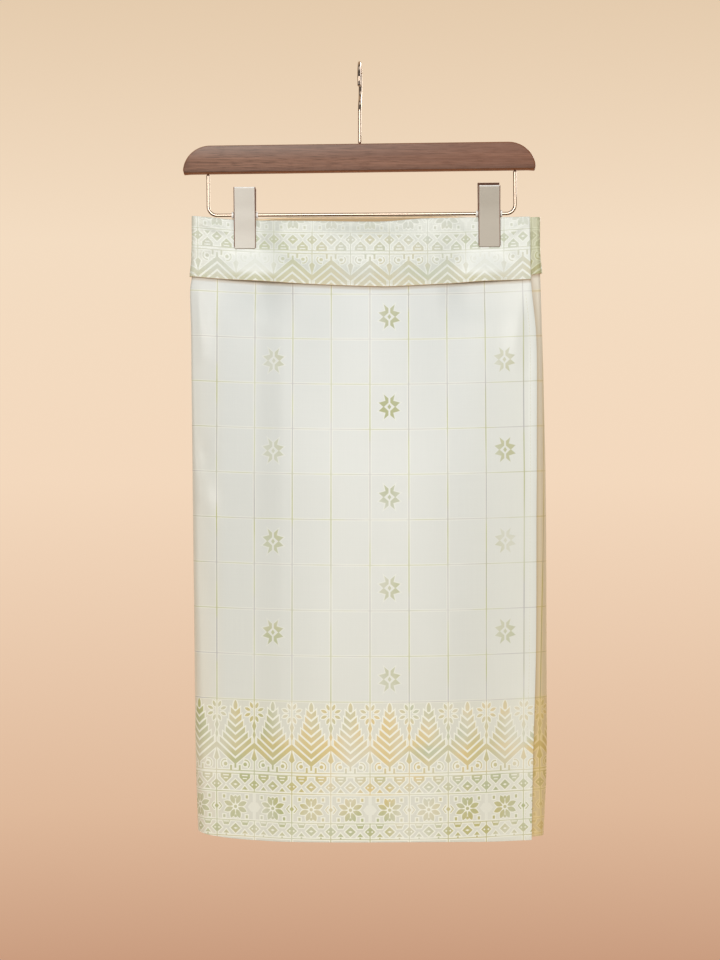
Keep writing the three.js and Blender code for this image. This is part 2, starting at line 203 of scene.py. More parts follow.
studio = {
    "cameraPlace": (0.0003, -2.2, -0.425),
    "lens": 80.57,              # the frame's long side sees 983 mm at the cloth
    "floorLevel": -1.25,
    "floorRadius": 1.3,
    "floorColour": (0.80, 0.66, 0.53),
    "room": (0.25, 0.255, 0.262),
    "side": (0.20, 0.15, 0.115),
    "sideFrom": (0.5, 0.85),    # where the room turns to its sides, by direction
    "wallFrom": (0.05, 0.55),   # and to the wall behind
    "wallReach": 0.22,          # how far up and down the wall's colours go
    "wall": [(0.0, (0.58, 0.33, 0.21)), (0.16, (0.74, 0.49, 0.33)), (0.5, (0.90, 0.69, 0.51)),
             (0.75, (0.90, 0.72, 0.54)), (1.0, (0.78, 0.60, 0.42))],
}
softboxes = {
    "keyLight": {"place": (-0.05, -5.0, 0.6), "aim": (0.05, 0, -0.5), "size": (2.2, 2.2), "watts": 146,
                 "colour": (1.0, 0.965, 0.925)},
    "stripLight": {"place": (0.1, -2.6, 0.85), "aim": (0, 0, -0.35), "size": (1.8, 0.4), "watts": 4,
                   "colour": (1.0, 1.0, 0.97)},
    "topLight": {"place": (0.1, -0.5, 1.7), "aim": (0, 0, -0.2), "size": (1.6, 0.8), "watts": 6,
                 "colour": (1.0, 0.97, 0.93)},
    "leftLight": {"place": (-2.4, -1.6, -0.1), "aim": (-0.1, 0, -0.45), "size": (0.9, 1.6), "watts": 12,
                  "colour": (1.0, 0.98, 0.95)},
    "rightLight": {"place": (2.4, -1.9, -0.1), "aim": (0.1, 0, -0.45), "size": (0.9, 1.6), "watts": 9,
                   "colour": (1.0, 0.98, 0.95)},
    "backLight": {"place": (1.5, 2.2, 0.9), "aim": (0, 0, -0.4), "size": (1.4, 1.4), "watts": 44,
                  "colour": (0.96, 0.98, 1.0)},
}


def makeCamera():
    camera = bpy.data.objects.new("camera", bpy.data.cameras.new("camera"))
    scene.collection.objects.link(camera)
    camera.location = studio["cameraPlace"]
    camera.rotation_euler = (math.radians(90), 0, 0)
    camera.data.sensor_fit = "VERTICAL"
    camera.data.sensor_height = 36
    camera.data.lens = studio["lens"]
    camera.data.clip_end = 50
    scene.camera = camera


def makeLights():
    for name, light in softboxes.items():
        data = bpy.data.lights.new(name, "AREA")
        data.shape = "RECTANGLE"
        data.size, data.size_y = light["size"]
        data.energy = light["watts"]
        data.color = light["colour"]
        lamp = bpy.data.objects.new(name, data)
        lamp.location = light["place"]
        aim = Vector(light["aim"]) - Vector(light["place"])
        lamp.rotation_euler = aim.to_track_quat("-Z", "Y").to_euler()
        scene.collection.objects.link(lamp)


def makeWorld():  # a warm wall behind, a dim neutral room in front, browner to its sides
    world = bpy.data.worlds.new("softRoom")
    world.use_nodes = True
    tree = world.node_tree
    coords = tree.nodes.new("ShaderNodeTexCoord")
    across, behind, up = splitPlace(tree, coords.outputs["Generated"])
    wall = tree.nodes.new("ShaderNodeValToRGB")
    stops = studio["wall"]
    while len(wall.color_ramp.elements) < len(stops):
        wall.color_ramp.elements.new(0.5)
    for stop, (place, colour) in zip(wall.color_ramp.elements, stops):
        stop.position = place
        stop.color = (*colour, 1)
    link(tree, spread(up, -studio["wallReach"], studio["wallReach"]), wall.inputs[0])
    room = mixColour(tree, spreadSoftly(abs(across), *studio["sideFrom"]), studio["room"], studio["side"])
    colour = mixColour(tree, spreadSoftly(behind, *studio["wallFrom"]), room, wall.outputs[0])
    tree.links.new(colour, tree.nodes["Background"].inputs["Color"])
    scene.world = world


def makeFloor():
    disc = bpy.data.meshes.new("floor")
    bm = bmesh.new()
    bmesh.ops.create_circle(bm, cap_ends=True, segments=96, radius=studio["floorRadius"])
    bm.to_mesh(disc)
    bm.free()
    disc.transform(Matrix.Translation((0, 0, studio["floorLevel"])))
    disc.materials.append(plainMaterial("floorPaint", studio["floorColour"], 0.9))
    floor = bpy.data.objects.new("floor", disc)
    scene.collection.objects.link(floor)


makeCamera()
makeLights()
makeWorld()
makeFloor()
print("studio ready")

# ---- the brocade's figure, charted in millimetres of cloth

figure = {
    "cell": 39.2,               # between two stems, and between two lines of the check
    "row": 45.8,                # between two weft lines of the check
    "borderTop": 140.0,
    "flower": 31.9,             # level of the flower row's middle
}
shoot = {                       # a bamboo shoot of leaning chevrons, narrowing upwards
    "foot": 73.2, "pitch": 7.93, "lean": 0.87, "half": 2.75, "chevrons": 7,
    "tip": 4.9, "widen": 1.45, "flare": 0.035,
    "budMiddle": 133.6, "budHigh": 5.4, "budWide": 2.1, "budClip": (134.4, 4.6),
    "stalk": (73.4, 2.6), "stalkHalf": 1.0, "posts": (71.0, 2.6), "postsAside": 4.5,
}
petals = {                      # how far out a petal's middle is, half its length and half its width
    "rosette": (7.4, 3.4, 1.5), "flower": (7.7, 4.9, 2.4),
}
stem = {                        # between the shoots; a swelling has its level, slope and half width
    "half": 0.45, "spindle": (113.6, 0.33, 2.1), "bulge": (104.6, 0.3, 1.6), "kite": (80.5, 0.3, 2.9),
    "rosette": 127.6, "seed": (9.4, 74.6), "seedRound": 1.9, "scrollRound": 4.3, "scrollHalf": 0.55,
    "scrollCut": 8.2, "scrollEnd": 10.2, "knot": (2.3, 2.8), "arrow": 5.2, "arrowHalf": 0.6,
    "arrowHigh": 3.6, "blank": (32.7, 14),
}
lattice = {"upper": 54.4, "lower": 10.1, "ring": (5.3, 5.0), "slit": (2.3, 1.1), "dot": (2.1, 1.1),
           "wedge": 1.4, "wedgeSlope": 0.85, "wedgeFoot": 5.2}
flowerRow = {                   # a line has its level and half its thickness, a stripe its half width too
    "lines": [(68.3, 0.45), (65.3, 0.38), (47.2, 0.42), (18.2, 0.38), (2.4, 0.4)],
    "shield": 56.0, "shieldHigh": 9.3, "shieldHalf": 5.5,
    "shieldStripes": [(7.4, 0.6, 3.0), (4.4, 0.55, 2.1)],
    "heart": 1.7, "drop": (9.6, 1.5), "cornerAcross": (11.8, 1.2), "cornerUp": (10, 1.6),
    "hood": 13.4, "hoodHalf": 2.4, "hoodMiddle": 2.1, "hoodStripe": (3.3, 0.5, 2.9), "tick": (3.2, 0.9, 0.8),
}
star = {                        # of two crossed pairs of pointed arms, with a gap between them
    "everyCell": 3, "foot": 162.9, "gap": 0.95, "ring": (5.0, 4.5), "middle": (2.0, 2.7),
    "tallSlope": 0.848, "tall": 7.84, "tallLean": 0.25, "tallAside": 2.38,
    "wideSlope": 0.275, "wide": 7.17, "wideLean": 0.91, "wideAside": 5.64,
}
check = {"warpHalf": 0.42, "weftHalf": 0.3, "weftShare": 0.7, "start": 1.5,
         "flankWarp": 1.1, "flankWeft": 1.0}

# Each function below returns the distance to a figure's outline in millimetres, less than 0 inside it.
# u and v run across and up the cloth, a is the distance from the nearest shoot's middle line, b from the
# nearest stem's, and q from the line halfway between them.


def shootDistance(a, v):
    s = shoot
    height = v - a * s["lean"] - s["foot"]
    step = (height / s["pitch"]).floor().within(0, s["chevrons"] - 1)
    level = (abs(height - step * s["pitch"] - s["pitch"] / 2) - s["half"]) * 0.76
    fromTop = (s["chevrons"] - 1) - step
    halfWide = fromTop * s["widen"] + fromTop * fromTop * fromTop * s["flare"] + s["tip"]
    fromBud = (v - s["budMiddle"]) / s["budHigh"]
    leaf = (a + fromBud * fromBud * 1.7 - s["budWide"]) * 0.9
    bud = both(leaf, abs(v - s["budClip"][0]) - s["budClip"][1])
    stalk = both(a - s["stalkHalf"], abs(v - s["stalk"][0]) - s["stalk"][1])
    posts = both(abs(a - s["postsAside"]) - s["stalkHalf"], abs(v - s["posts"][0]) - s["posts"][1])
    return either(both(level, a - halfWide), bud, stalk, posts)


def petalDistance(across, up, middle, halfLong, halfWide):
    turn = (up.math("ARCTAN2", across) - math.pi / 8).wrapped(math.pi / 4)
    reach = hypot(across, up)
    along = (reach * turn.math("COSINE") - middle) / halfLong
    aside = abs(reach * turn.math("SINE"))
    return aside + along * along * halfWide - halfWide, reach


def stemDistance(b, v, blank):
    s = stem
    spindle, bulge = (b + abs(v - level) * slope - half for level, slope, half in (s["spindle"], s["bulge"]))
    level, slope, half = s["kite"]
    kite = (b + both((v - level) * slope, level - v) - half) * 0.8
    rosette, _ = petalDistance(b, v - s["rosette"], *petals["rosette"])
    seedAcross, seedLevel = s["seed"]
    fromSeed = hypot(b - seedAcross, v - seedLevel)
    ring = abs(fromSeed - s["scrollRound"]) - s["scrollHalf"]
    scroll = both(ring, b * 0.8 - v + (seedLevel - s["scrollCut"]), b - s["scrollEnd"])
    fromFlower = abs(v - figure["flower"])
    knot = (b / s["knot"][0] + fromFlower / s["knot"][1] - 1) * 2
    arrow = both(abs(b + fromFlower * 0.8 - s["arrow"]) - s["arrowHalf"], fromFlower - s["arrowHigh"])
    inFlowers = both(abs(v - s["blank"][0]) - s["blank"][1], 1 - blank * 2)
    line = both(either(b - s["half"], knot, arrow), -inFlowers)
    return either(line, spindle, bulge, kite, rosette, fromSeed - s["seedRound"], scroll)


def latticeDistance(a, b, q, v, level):
    g = lattice
    up = abs(v - level)
    diamond = a.math("MINIMUM", b) / g["ring"][0] + up / g["ring"][1] - 1
    slit = a / g["slit"][0] + up / g["slit"][1] - 1
    dots = (abs(b - g["dot"][0]) + up) / g["dot"][1] - 1
    ring = both(diamond * 3.6, -either(slit, dots))
    wedge = both((q + (v - level) * g["wedgeSlope"] + g["wedge"]) * 0.76, level - g["wedgeFoot"] - v)
    return either(ring, wedge)


def stripeDistance(q, up, stripe):
    level, half, halfWide = stripe
    return both(abs(up - level) - half, q - halfWide)


def rowDistance(a, b, q, v):
    f = flowerRow
    lines = either(*[abs(v - level) - half for level, half in f["lines"]])
    up = v - f["shield"]
    shield = both((q - (up * 1.02).math("MINIMUM", f["shieldHalf"])) * 0.75, up - f["shieldHigh"])
    shield = both(shield, -either(*[stripeDistance(q, up, stripe) for stripe in f["shieldStripes"]]))
    fromFlower = abs(v - figure["flower"])
    leaves, reach = petalDistance(a, v - figure["flower"], *petals["flower"])
    drops = hypot(a, fromFlower - f["drop"][0]) - f["drop"][1]
    corners = both(*[abs(way - f[end][0]) - f[end][1]
                     for way, end in ((a, "cornerAcross"), (fromFlower, "cornerUp"))])
    flower = either(leaves, reach - f["heart"], drops, corners)
    up = v - f["hood"]
    hood = both(q - up * 0.42 - f["hoodHalf"], abs(up - f["hoodMiddle"]) - f["hoodMiddle"])
    hood = both(hood, -stripeDistance(q, up, f["hoodStripe"]))
    tick = stripeDistance(q, v, f["tick"])
    upper = latticeDistance(a, b, q, v, lattice["upper"])
    lower = latticeDistance(a, b, q, v, lattice["lower"])
    return either(lines, shield, flower, hood, tick, upper, lower)


def starDistance(u, v):
    s = star
    pitch = figure["cell"] * s["everyCell"]
    column = (u / pitch + 0.5).floor()
    x = abs(u.wrapped(pitch))
    y = abs((v - column * figure["row"] - s["foot"]).wrapped(2 * figure["row"]))
    tall = both(y - x * s["tallSlope"] - s["tall"], (x - y * s["tallLean"] - s["tallAside"]) * 0.97)
    wide = both(y + x * s["wideSlope"] - s["wide"], (x * s["wideLean"] - y - s["wideAside"]) * 0.74)
    ring = (1.1 - x / s["ring"][0] - y / s["ring"][1]) * 3.3
    arms = both(either(tall, wide), ring, s["gap"] - x)
    middle = (x / s["middle"][0] + y / s["middle"][1] - 1) * 1.8
    return both(either(arms, middle), figure["borderTop"] - v)


def makeFigureGroup():
    tree, start, end = newGroup(
        "brocadeFigure",
        [("Cloth Place", "NodeSocketVector", None), ("Shift", "NodeSocketFloat", 0.0)],
        [("Motif", "NodeSocketFloat"), ("Halo", "NodeSocketFloat"), ("Check", "NodeSocketFloat"),
         ("Border", "NodeSocketFloat"), ("Flank", "NodeSocketFloat"), ("Low", "NodeSocketFloat")],
    )
    across, up, _ = splitPlace(tree, start.outputs["Cloth Place"])
    cell, row, borderTop = figure["cell"], figure["row"], figure["borderTop"]
    u = across * 1000 + Value(tree, start.outputs["Shift"])
    v = up * 1000
    a = abs(u.wrapped(cell))
    b = cell / 2 - a
    q = abs(a - cell / 4)
    fromThird = abs((u + cell / 2).wrapped(3 * cell))
    blank = (fromThird - cell / 2).filled(1.0)      # one stem in three skips the flower row
    dark = either(shootDistance(a, v), stemDistance(b, v, blank), rowDistance(a, b, q, v))
    dark = both(dark, v - borderTop)
    motif = either(dark, starDistance(u, v))
    weft = abs((v - borderTop).wrapped(row)) - check["weftHalf"]
    warp = b - check["warpHalf"]
    above = borderTop - check["start"] - v
    lines = both(both(warp, above).filled(0.8), both(weft, above).filled(0.8) * check["weftShare"])
    flank = both(either(warp - check["flankWarp"], weft - check["flankWeft"]), above).filled(0.9)
    solid = motif.filled(0.7)
    halo = (motif - 0.95).filled(0.9) - solid
    link(tree, solid, end.inputs["Motif"])
    link(tree, halo, end.inputs["Halo"])
    link(tree, lines, end.inputs["Check"])
    link(tree, (v - borderTop - 1).filled(2.0), end.inputs["Border"])
    link(tree, flank, end.inputs["Flank"])
    link(tree, (v - 340).filled(640.0), end.inputs["Low"])      # 1 at the hem, 0 near the band
    return tree


sett = {"end": 0.00055, "pick": 0.0007}      # metres between two warp ends and between two picks


def makeThreadGroup():
    tree, start, end = newGroup(
        "threadDrift",
        [("Cloth Place", "NodeSocketVector", None)],
        [("Gold", "NodeSocketFloat"), ("Strength", "NodeSocketFloat"), ("Streak", "NodeSocketFloat"),
         ("Weave", "NodeSocketFloat"), ("Cloud", "NodeSocketFloat"), ("Dye", "NodeSocketFloat")],
    )
    place = start.outputs["Cloth Place"]

    def drift(across, up, detail, seed):
        return stretchedNoise(tree, place, (across, up, 1), detail, (seed, seed * 0.7, 0), "2D")
    link(tree, spread(drift(15, 24, 2, 3.1), 0.34, 0.6), end.inputs["Gold"])
    link(tree, spread(drift(19, 11, 2, 8.4), 0.34, 0.6), end.inputs["Strength"])
    link(tree, (drift(900, 16, 2, 1.7) + drift(12, 1300, 2, 5.2)) * 0.5, end.inputs["Streak"])
    link(tree, spread(drift(21, 19, 1, 11.3), 0.42, 0.56), end.inputs["Dye"])
    across, up, _ = splitPlace(tree, place)
    ends = (across * (2 * math.pi / sett["end"])).math("SINE")
    picks = (up * (2 * math.pi / sett["pick"])).math("SINE")
    link(tree, (ends * picks) * 0.5 + 0.5, end.inputs["Weave"])
    link(tree, drift(5, 4, 3, 2.2), end.inputs["Cloud"])
    return tree


figureGroup = makeFigureGroup()
threadGroup = makeThreadGroup()

plainLook = {                   # what a face has unless it says otherwise, places in millimetres of cloth
    "shift": -30.0,             # of the figure, across
    "fadeAt": -50.0,            # height in the figure below which the motifs are faint, washed out as a painted highlight
    "foldLine": -158.0,         # place across, left of which the ground takes a painted warm reflection
    "footLine": 900.0,          # height above which the ground takes painted warm shade: a band's figure stands on its head
    # the warm colour is painted light: warm reflection by the left fold and shade along a band's foot
    "warm": (0.72, 0.60, 0.38),
}
clothLooks = {
    "brocadeFace": {
        "ground": (0.65, 0.695, 0.695), "groundLow": (0.66, 0.68, 0.62), "border": (0.65, 0.665, 0.585),
        "halo": (0.86, 0.88, 0.79), "sage": (0.46, 0.50, 0.32), "gold": (0.68, 0.53, 0.22),
        "olive": (0.34, 0.38, 0.13), "line": (0.37, 0.39, 0.12), "greyLine": (0.36, 0.35, 0.36),
        "warm": (0.74, 0.62, 0.42), "motifShare": 0.9, "shine": 0.35,
    },
    "bandFace": {
        "ground": (0.585, 0.625, 0.585), "groundLow": (0.585, 0.625, 0.585), "border": (0.585, 0.62, 0.565),
        "halo": (0.72, 0.76, 0.71), "sage": (0.44, 0.50, 0.34), "gold": (0.58, 0.53, 0.31),
        "olive": (0.42, 0.49, 0.22), "line": (0.43, 0.46, 0.22), "greyLine": (0.44, 0.46, 0.34),
        "warm": (0.59, 0.535, 0.37), "motifShare": 0.62, "shine": 0.6,
        "shift": -10.4, "fadeAt": 46.0, "foldLine": -172.0, "footLine": 91.0,
    },
    # painted shade: the under band's colours are a darker, yellower copy of the band's
    "shadedUnderBandFace": {
        "ground": (0.47, 0.48, 0.325), "groundLow": (0.47, 0.48, 0.325), "border": (0.47, 0.48, 0.315),
        "halo": (0.60, 0.63, 0.45), "sage": (0.34, 0.39, 0.19), "gold": (0.43, 0.39, 0.16),
        "olive": (0.31, 0.36, 0.14), "line": (0.33, 0.35, 0.15), "greyLine": (0.34, 0.36, 0.24),
        "warm": (0.50, 0.40, 0.20), "motifShare": 0.75, "shine": 0.4,
        "shift": -10.4, "fadeAt": 60.0, "foldLine": -900.0,
    },
    # painted shade and warm reflection: the under lap's colours are a darker, more golden copy of the face,
    # most of all towards the hem
    "shadedUnderFace": {
        "ground": (0.715, 0.705, 0.64), "groundLow": (0.575, 0.44, 0.235), "border": (0.55, 0.41, 0.17),
        "halo": (0.76, 0.62, 0.32), "sage": (0.46, 0.37, 0.10), "gold": (0.56, 0.39, 0.07),
        "olive": (0.38, 0.31, 0.07), "line": (0.46, 0.38, 0.14), "greyLine": (0.46, 0.38, 0.24),
        "motifShare": 0.85, "shine": 0.35,
    },
    "brocadeReverse": {
        "ground": (0.97, 0.68, 0.37), "groundLow": (0.90, 0.64, 0.36), "border": (0.97, 0.68, 0.38),
        "halo": (0.95, 0.70, 0.42), "sage": (0.90, 0.72, 0.48), "gold": (0.90, 0.77, 0.52),
        "olive": (0.78, 0.66, 0.44), "line": (0.86, 0.73, 0.48), "greyLine": (0.82, 0.71, 0.52),
        "motifShare": 0.6, "shine": 0.2,
    },
}
clothMix = {                    # widths in millimetres of cloth, and how far each effect goes
    "foldWide": 44.0, "foldPaintedLight": 0.6,
    "footWide": 9.0, "footPaintedShade": 0.4,
    # rightLight is the share of painted light on the cloth's right-hand side
    "rightStart": 100, "rightWide": 70, "rightLight": 0.35,
    "paintedHighlightColour": (0.80, 0.84, 0.80), "paintedHighlight": 0.9, "paintedHighlightHides": 0.85,
    "shadeColour": (0.34, 0.23, 0.10), "shade": 0.75,
    "fadeWide": 18.0, "fadeShare": 0.8, "olive": 0.7, "oliveFrom": (0.5, 0.68),
    "flank": 0.35, "haloInField": 0.3, "haloInBorder": 0.55,
    # lineByFold darkens the check lines near the left fold as painted shade
    "lineLeast": 0.55, "lineByThread": 0.4, "lineByFold": 0.9,
}
threadMix = {                   # how far each mask changes the cloth's tone, gloss and relief
    "tone": {"Streak": 0.05, "Cloud": 0.04}, "toneLeast": 0.955,
    "roughness": {"Motif": 0.16, "Weave": 0.04}, "roughnessLeast": 0.33,
    "relief": {"Weave": 0.25, "Streak": 0.35, "Motif": 0.6},
}


def clothGround(tree, look, masks, across, up, paintedHighlight):
    mix = clothMix
    low, border, strength = masks["Low"], masks["Border"], masks["Strength"]
    ground = mixColour(tree, low, look["ground"], look["groundLow"])
    ground = mixColour(tree, border, ground, look["border"])
    # painted light: near the left fold the ground is mixed towards the warm colour as painted warm
    # reflection, and the check lines grow darker as painted shade
    foldPaintedLight = (across - look["foldLine"]).filled(mix["foldWide"]) * (low * 0.8 + 0.1)
    ground = mixColour(tree, foldPaintedLight * mix["foldPaintedLight"], ground, look["warm"])
    # painted shade: along a band's foot the ground is mixed towards the warm colour
    foot = (look["footLine"] - up).filled(mix["footWide"])
    ground = mixColour(tree, foot * mix["footPaintedShade"], ground, look["warm"])
    # painted light: the right-hand side of the cloth is mixed towards the pale halo colour
    rightward = spread(across, mix["rightStart"], mix["rightStart"] + mix["rightWide"]) * mix["rightLight"]
    halo = masks["Halo"] * (border * mix["haloInBorder"] + mix["haloInField"])
    light = both(halo, masks["Flank"] * mix["flank"], rightward)
    ground = mixColour(tree, light, ground, look["halo"])
    # painted highlight: the ground is mixed towards a pale colour below the clips
    ground = mixColour(tree, paintedHighlight * mix["paintedHighlight"], ground, mix["paintedHighlightColour"])
    lineColour = mixColour(tree, masks["Dye"], look["greyLine"], look["line"])
    lineShare = strength * mix["lineByThread"] + mix["lineLeast"] + foldPaintedLight * mix["lineByFold"]
    ground = mixColour(tree, masks["Check"] * lineShare, ground, lineColour)
    return mixColour(tree, readAttribute(tree, "bandShade") * mix["shade"], ground, mix["shadeColour"])


def clothFigure(tree, look, masks, up, paintedHighlight):  # the motifs' colour, and how much of it shows
    mix = clothMix
    figured = mixColour(tree, masks["Gold"] * (masks["Border"] * 0.85 + 0.15), look["sage"], look["gold"])
    olive = spread(masks["Cloud"], *mix["oliveFrom"]) * mix["olive"]
    figured = mixColour(tree, olive, figured, look["olive"])
    # painted highlight: the figure fades near the top of a band
    shown = (look["fadeAt"] - up).filled(mix["fadeWide"]) * mix["fadeShare"] + (1 - mix["fadeShare"])
    strength = masks["Strength"] * 0.65 + 0.35
    # and the figure is hidden under that painted highlight
    share = masks["Motif"] * strength * shown * (paintedHighlight * -mix["paintedHighlightHides"] + 1.0) * look["motifShare"]
    return figured, share


def weighted(masks, shares):
    first, *rest = [masks[name] * share for name, share in shares.items()]
    return sum(rest, first)


def makeBrocade(name):
    look = plainLook | clothLooks[name]
    material, tree, shader = newMaterial(name, {
        "Specular IOR Level": look["shine"], "Sheen Weight": 0.25, "Sheen Roughness": 0.45,
        "Sheen Tint": (1.0, 0.85, 0.62, 1),
    })
    uv = tree.nodes.new("ShaderNodeUVMap")
    uv.uv_map = "clothPlace"
    masks = {}
    for group in (figureGroup, threadGroup):
        node = tree.nodes.new("ShaderNodeGroup")
        node.node_tree = group
        tree.links.new(uv.outputs[0], node.inputs["Cloth Place"])
        if group == figureGroup:
            node.inputs["Shift"].default_value = look["shift"]
        masks |= {output.name: Value(tree, output) for output in node.outputs}
    across, up, _ = splitPlace(tree, uv.outputs[0])
    across, up = across * 1000, up * 1000
    paintedHighlight = readAttribute(tree, "paintedHighlight")
    ground = clothGround(tree, look, masks, across, up, paintedHighlight)
    figured, share = clothFigure(tree, look, masks, up, paintedHighlight)
    tint = tree.nodes.new("ShaderNodeHueSaturation")
    tree.links.new(mixColour(tree, share, ground, figured), tint.inputs["Color"])
    link(tree, weighted(masks, threadMix["tone"]) + threadMix["toneLeast"], tint.inputs["Value"])
    tree.links.new(tint.outputs[0], shader.inputs["Base Color"])
    roughness = weighted(masks, threadMix["roughness"]) + threadMix["roughnessLeast"]
    link(tree, roughness, shader.inputs["Roughness"])
    bumpInto(tree, shader, weighted(masks, threadMix["relief"]), 0.0001, 0.5)
    return material


clothFaces = {name: makeBrocade(name) for name in clothLooks}
print("cloth materials ready")

# ---- the wrap's form, in millimetres

wrap = {
    "wall": 0.9, "layerStep": 1.4, "foldGap": 0.05, "bandDeep": 66.0, "long": 634.0, "shy": 2.0,
    "underEdge": -72.0, "lapRamp": (33, 4), "lapSlack": 2.0,    # the lap climbs over the hidden edge
    "lapFade": (-2, 34), "fineRows": 80,                        # past the band's foot; how far rows are fine
    "frontBow": (28.0, 5.0), "backBow": (20.0, 3.0),            # at the hem, at the waist
    "bowStart": 40.0, "bowSoft": 0.5, "waistFade": (66, 260), "topLean": (-4, 34),
    "clips": (-117.5, 132.4), "jawReach": 17.0, "jawFade": 56.0, "pinchFade": (42, 112), "pinched": 0.55,
    "hemLevel": -788.7, "patternMiddle": 12.0, "patternRise": 4.3,
    "patternReach": (160, 552),                                 # aside and up, for that rise
    "bandFigure": -126.7, "bandRise": 6.0, "bandReach": 165,    # where the band's figure starts
    "turnedEdge": (6.6, 5.8, 0.4),                              # from, to and height beside the free edge
}
outline = {
    "down": [0, 34, 66, 80, 122, 170, 290, 440, 560, 634],
    "leftFold": [-170.2, -170.3, -171.4, -173.2, -172.2, -171.8, -170.5, -168.8, -167.4, -165.0],
    "rightFold": [182.9, 183.0, 184.2, 184.9, 186.2, 187.7, 190.2, 190.9, 191.0, 187.8],
    "freeEdge": [173.4, 174.2, 174.6, 175.6, 179.4, 180.0, 178.6, 177.8, 174.6, 173.2],
    "leftRound": [1.6, 1.7, 2.0, 2.2, 2.8, 3.4, 5.0, 9.0, 11.5, 12.0],
    "rightRound": [1.8, 2.0, 2.6, 3.0, 4.5, 6.0, 8.0, 9.0, 9.0, 9.0],
}
frontHeights = {
    "across": [-172, -150, -128, -100, -60, 22, 60, 100, 134, 182],
    "top": [-155.2, -157.0, -159.2, -160.0, -160.8, -161.8, -158.8, -157.3, -157.0, -156.2],
    "foot": [-216.6, -218.6, -220.4, -222.2, -225.2, -228.6, -226.8, -224.4, -222.2, -219.6],
    "hem": [-781.3, -785.6, -787.8, -788.9, -788.9, -788.7, -788.8, -789.4, -790.3, -790.3],
}
backHeights = {
    "across": [-172, -150, -133, -102, -84, 0, 96, 116, 148, 184],
    "top": [-155.2, -156.4, -158.2, -158.0, -156.3, -155.4, -154.9, -156.9, -156.9, -156.4],
    "foot": [-216.6, -217.8, -218.4, -218.8, -218.8, -218.6, -217.2, -216.4, -215.2, -213.4],
    "hem": [-781.3, -782.8, -784.0, -785.2, -785.8, -786.6, -786.8, -787.4, -787.6, -787.5],
}
underHeights = {
    "across": [-72, 22, 60, 100, 146, 184],
    "top": [-162.4, -163.4, -160.6, -158.8, -157.8, -156.4],
    "foot": [-224.8, -228.6, -226.8, -224.4, -220.4, -213.4],
    "hem": [-785.8, -785.9, -786.2, -787.0, -787.9, -787.5],
}


def curveThrough(keys, column):  # smooth curve through one column of a table
    keys, column = np.array(keys, float), np.array(column, float)
    after = np.minimum(np.arange(len(keys)) + 1, len(keys) - 1)
    before = np.maximum(np.arange(len(keys)) - 1, 0)
    slope = (column[after] - column[before]) / (keys[after] - keys[before])

    def read(value):
        value = np.clip(np.asarray(value, float), keys[0], keys[-1])
        k = np.clip(np.searchsorted(keys, value, side="right") - 1, 0, len(keys) - 2)
        span = keys[k + 1] - keys[k]
        t = (value - keys[k]) / span
        pull = t * (1 - t) * span * ((1 - t) * slope[k] - t * slope[k + 1])
        return (1 + 2 * t) * (1 - t) ** 2 * column[k] + t * t * (3 - 2 * t) * column[k + 1] + pull
    return read


def columnsOf(table, key):
    return {name: curveThrough(table[key], table[name]) for name in table if name != key}


def eased(value, low, high):
    t = np.clip((value - low) / (high - low), 0, 1)
    return t * t * (3 - 2 * t)


def turned(distance, radius):
    return np.sqrt(1 - (1 - np.clip(distance / radius, 0, 1)) ** 2)


edges = columnsOf(outline, "down")


def besideClip(x):
    return np.minimum(abs(x - wrap["clips"][0]), abs(x - wrap["clips"][1]))


def halfDepth(x, down, bow):  # from the middle plane to the cloth, swelling between the folds
    left, right = edges["leftFold"](down), edges["rightFold"](down)
    share = np.clip((x - left) / (right - left), 0, 1)
    leftRound, rightRound = edges["leftRound"](down), edges["rightRound"](down)
    turn = turned(x - left, leftRound) * turned(right - x, rightRound)
    opened = np.clip((down - wrap["bowStart"]) / (wrap["long"] - wrap["bowStart"]), 0, 1)
    opened = opened / (opened + wrap["bowSoft"]) * (1 + wrap["bowSoft"])
    first, last = (wrap["clips"][0] + wrap["jawReach"], wrap["clips"][1] - wrap["jawReach"])
    between = np.clip((x - first) / (last - first), 0, 1)
    waist = bow[1] * np.sin(np.pi * between) ** 2 * (1 - eased(down, *wrap["waistFade"]))
    waist = waist * (0.1 + 0.9 * eased(down, *wrap["topLean"]))  # the top edge leans back
    free = (leftRound + (rightRound - leftRound) * share) * turn
    free = free + bow[0] * opened * 4 * share * (1 - share) + waist
    pinch = 1 - eased(besideClip(x), wrap["jawReach"], wrap["jawFade"])
    return free + (wrap["pinched"] - free) * pinch * (1 - eased(down, *wrap["pinchFade"]))


def lapLift(x, down):
    start, end = (wrap["underEdge"] - reach for reach in wrap["lapRamp"])
    overBand = 1 - eased(down, *(wrap["bandDeep"] + reach for reach in wrap["lapFade"]))
    slack = wrap["lapSlack"] * down / wrap["long"]
    return eased(x, start, end) * (wrap["layerStep"] * (1 + overBand) + slack)


def surfacePoint(x, down, facing, bow, heights):
    top, foot, hem = heights["top"](x), heights["foot"](x), heights["hem"](x)
    deep = wrap["bandDeep"]
    upper = top + (foot - top) * down / deep
    lower = foot + (hem - foot) * (down - deep) / (wrap["long"] - deep)
    y = facing * (wrap["foldGap"] / 2 + halfDepth(x, down, bow))
    return np.stack([x, y, np.where(down < deep, upper, lower)], axis=-1)


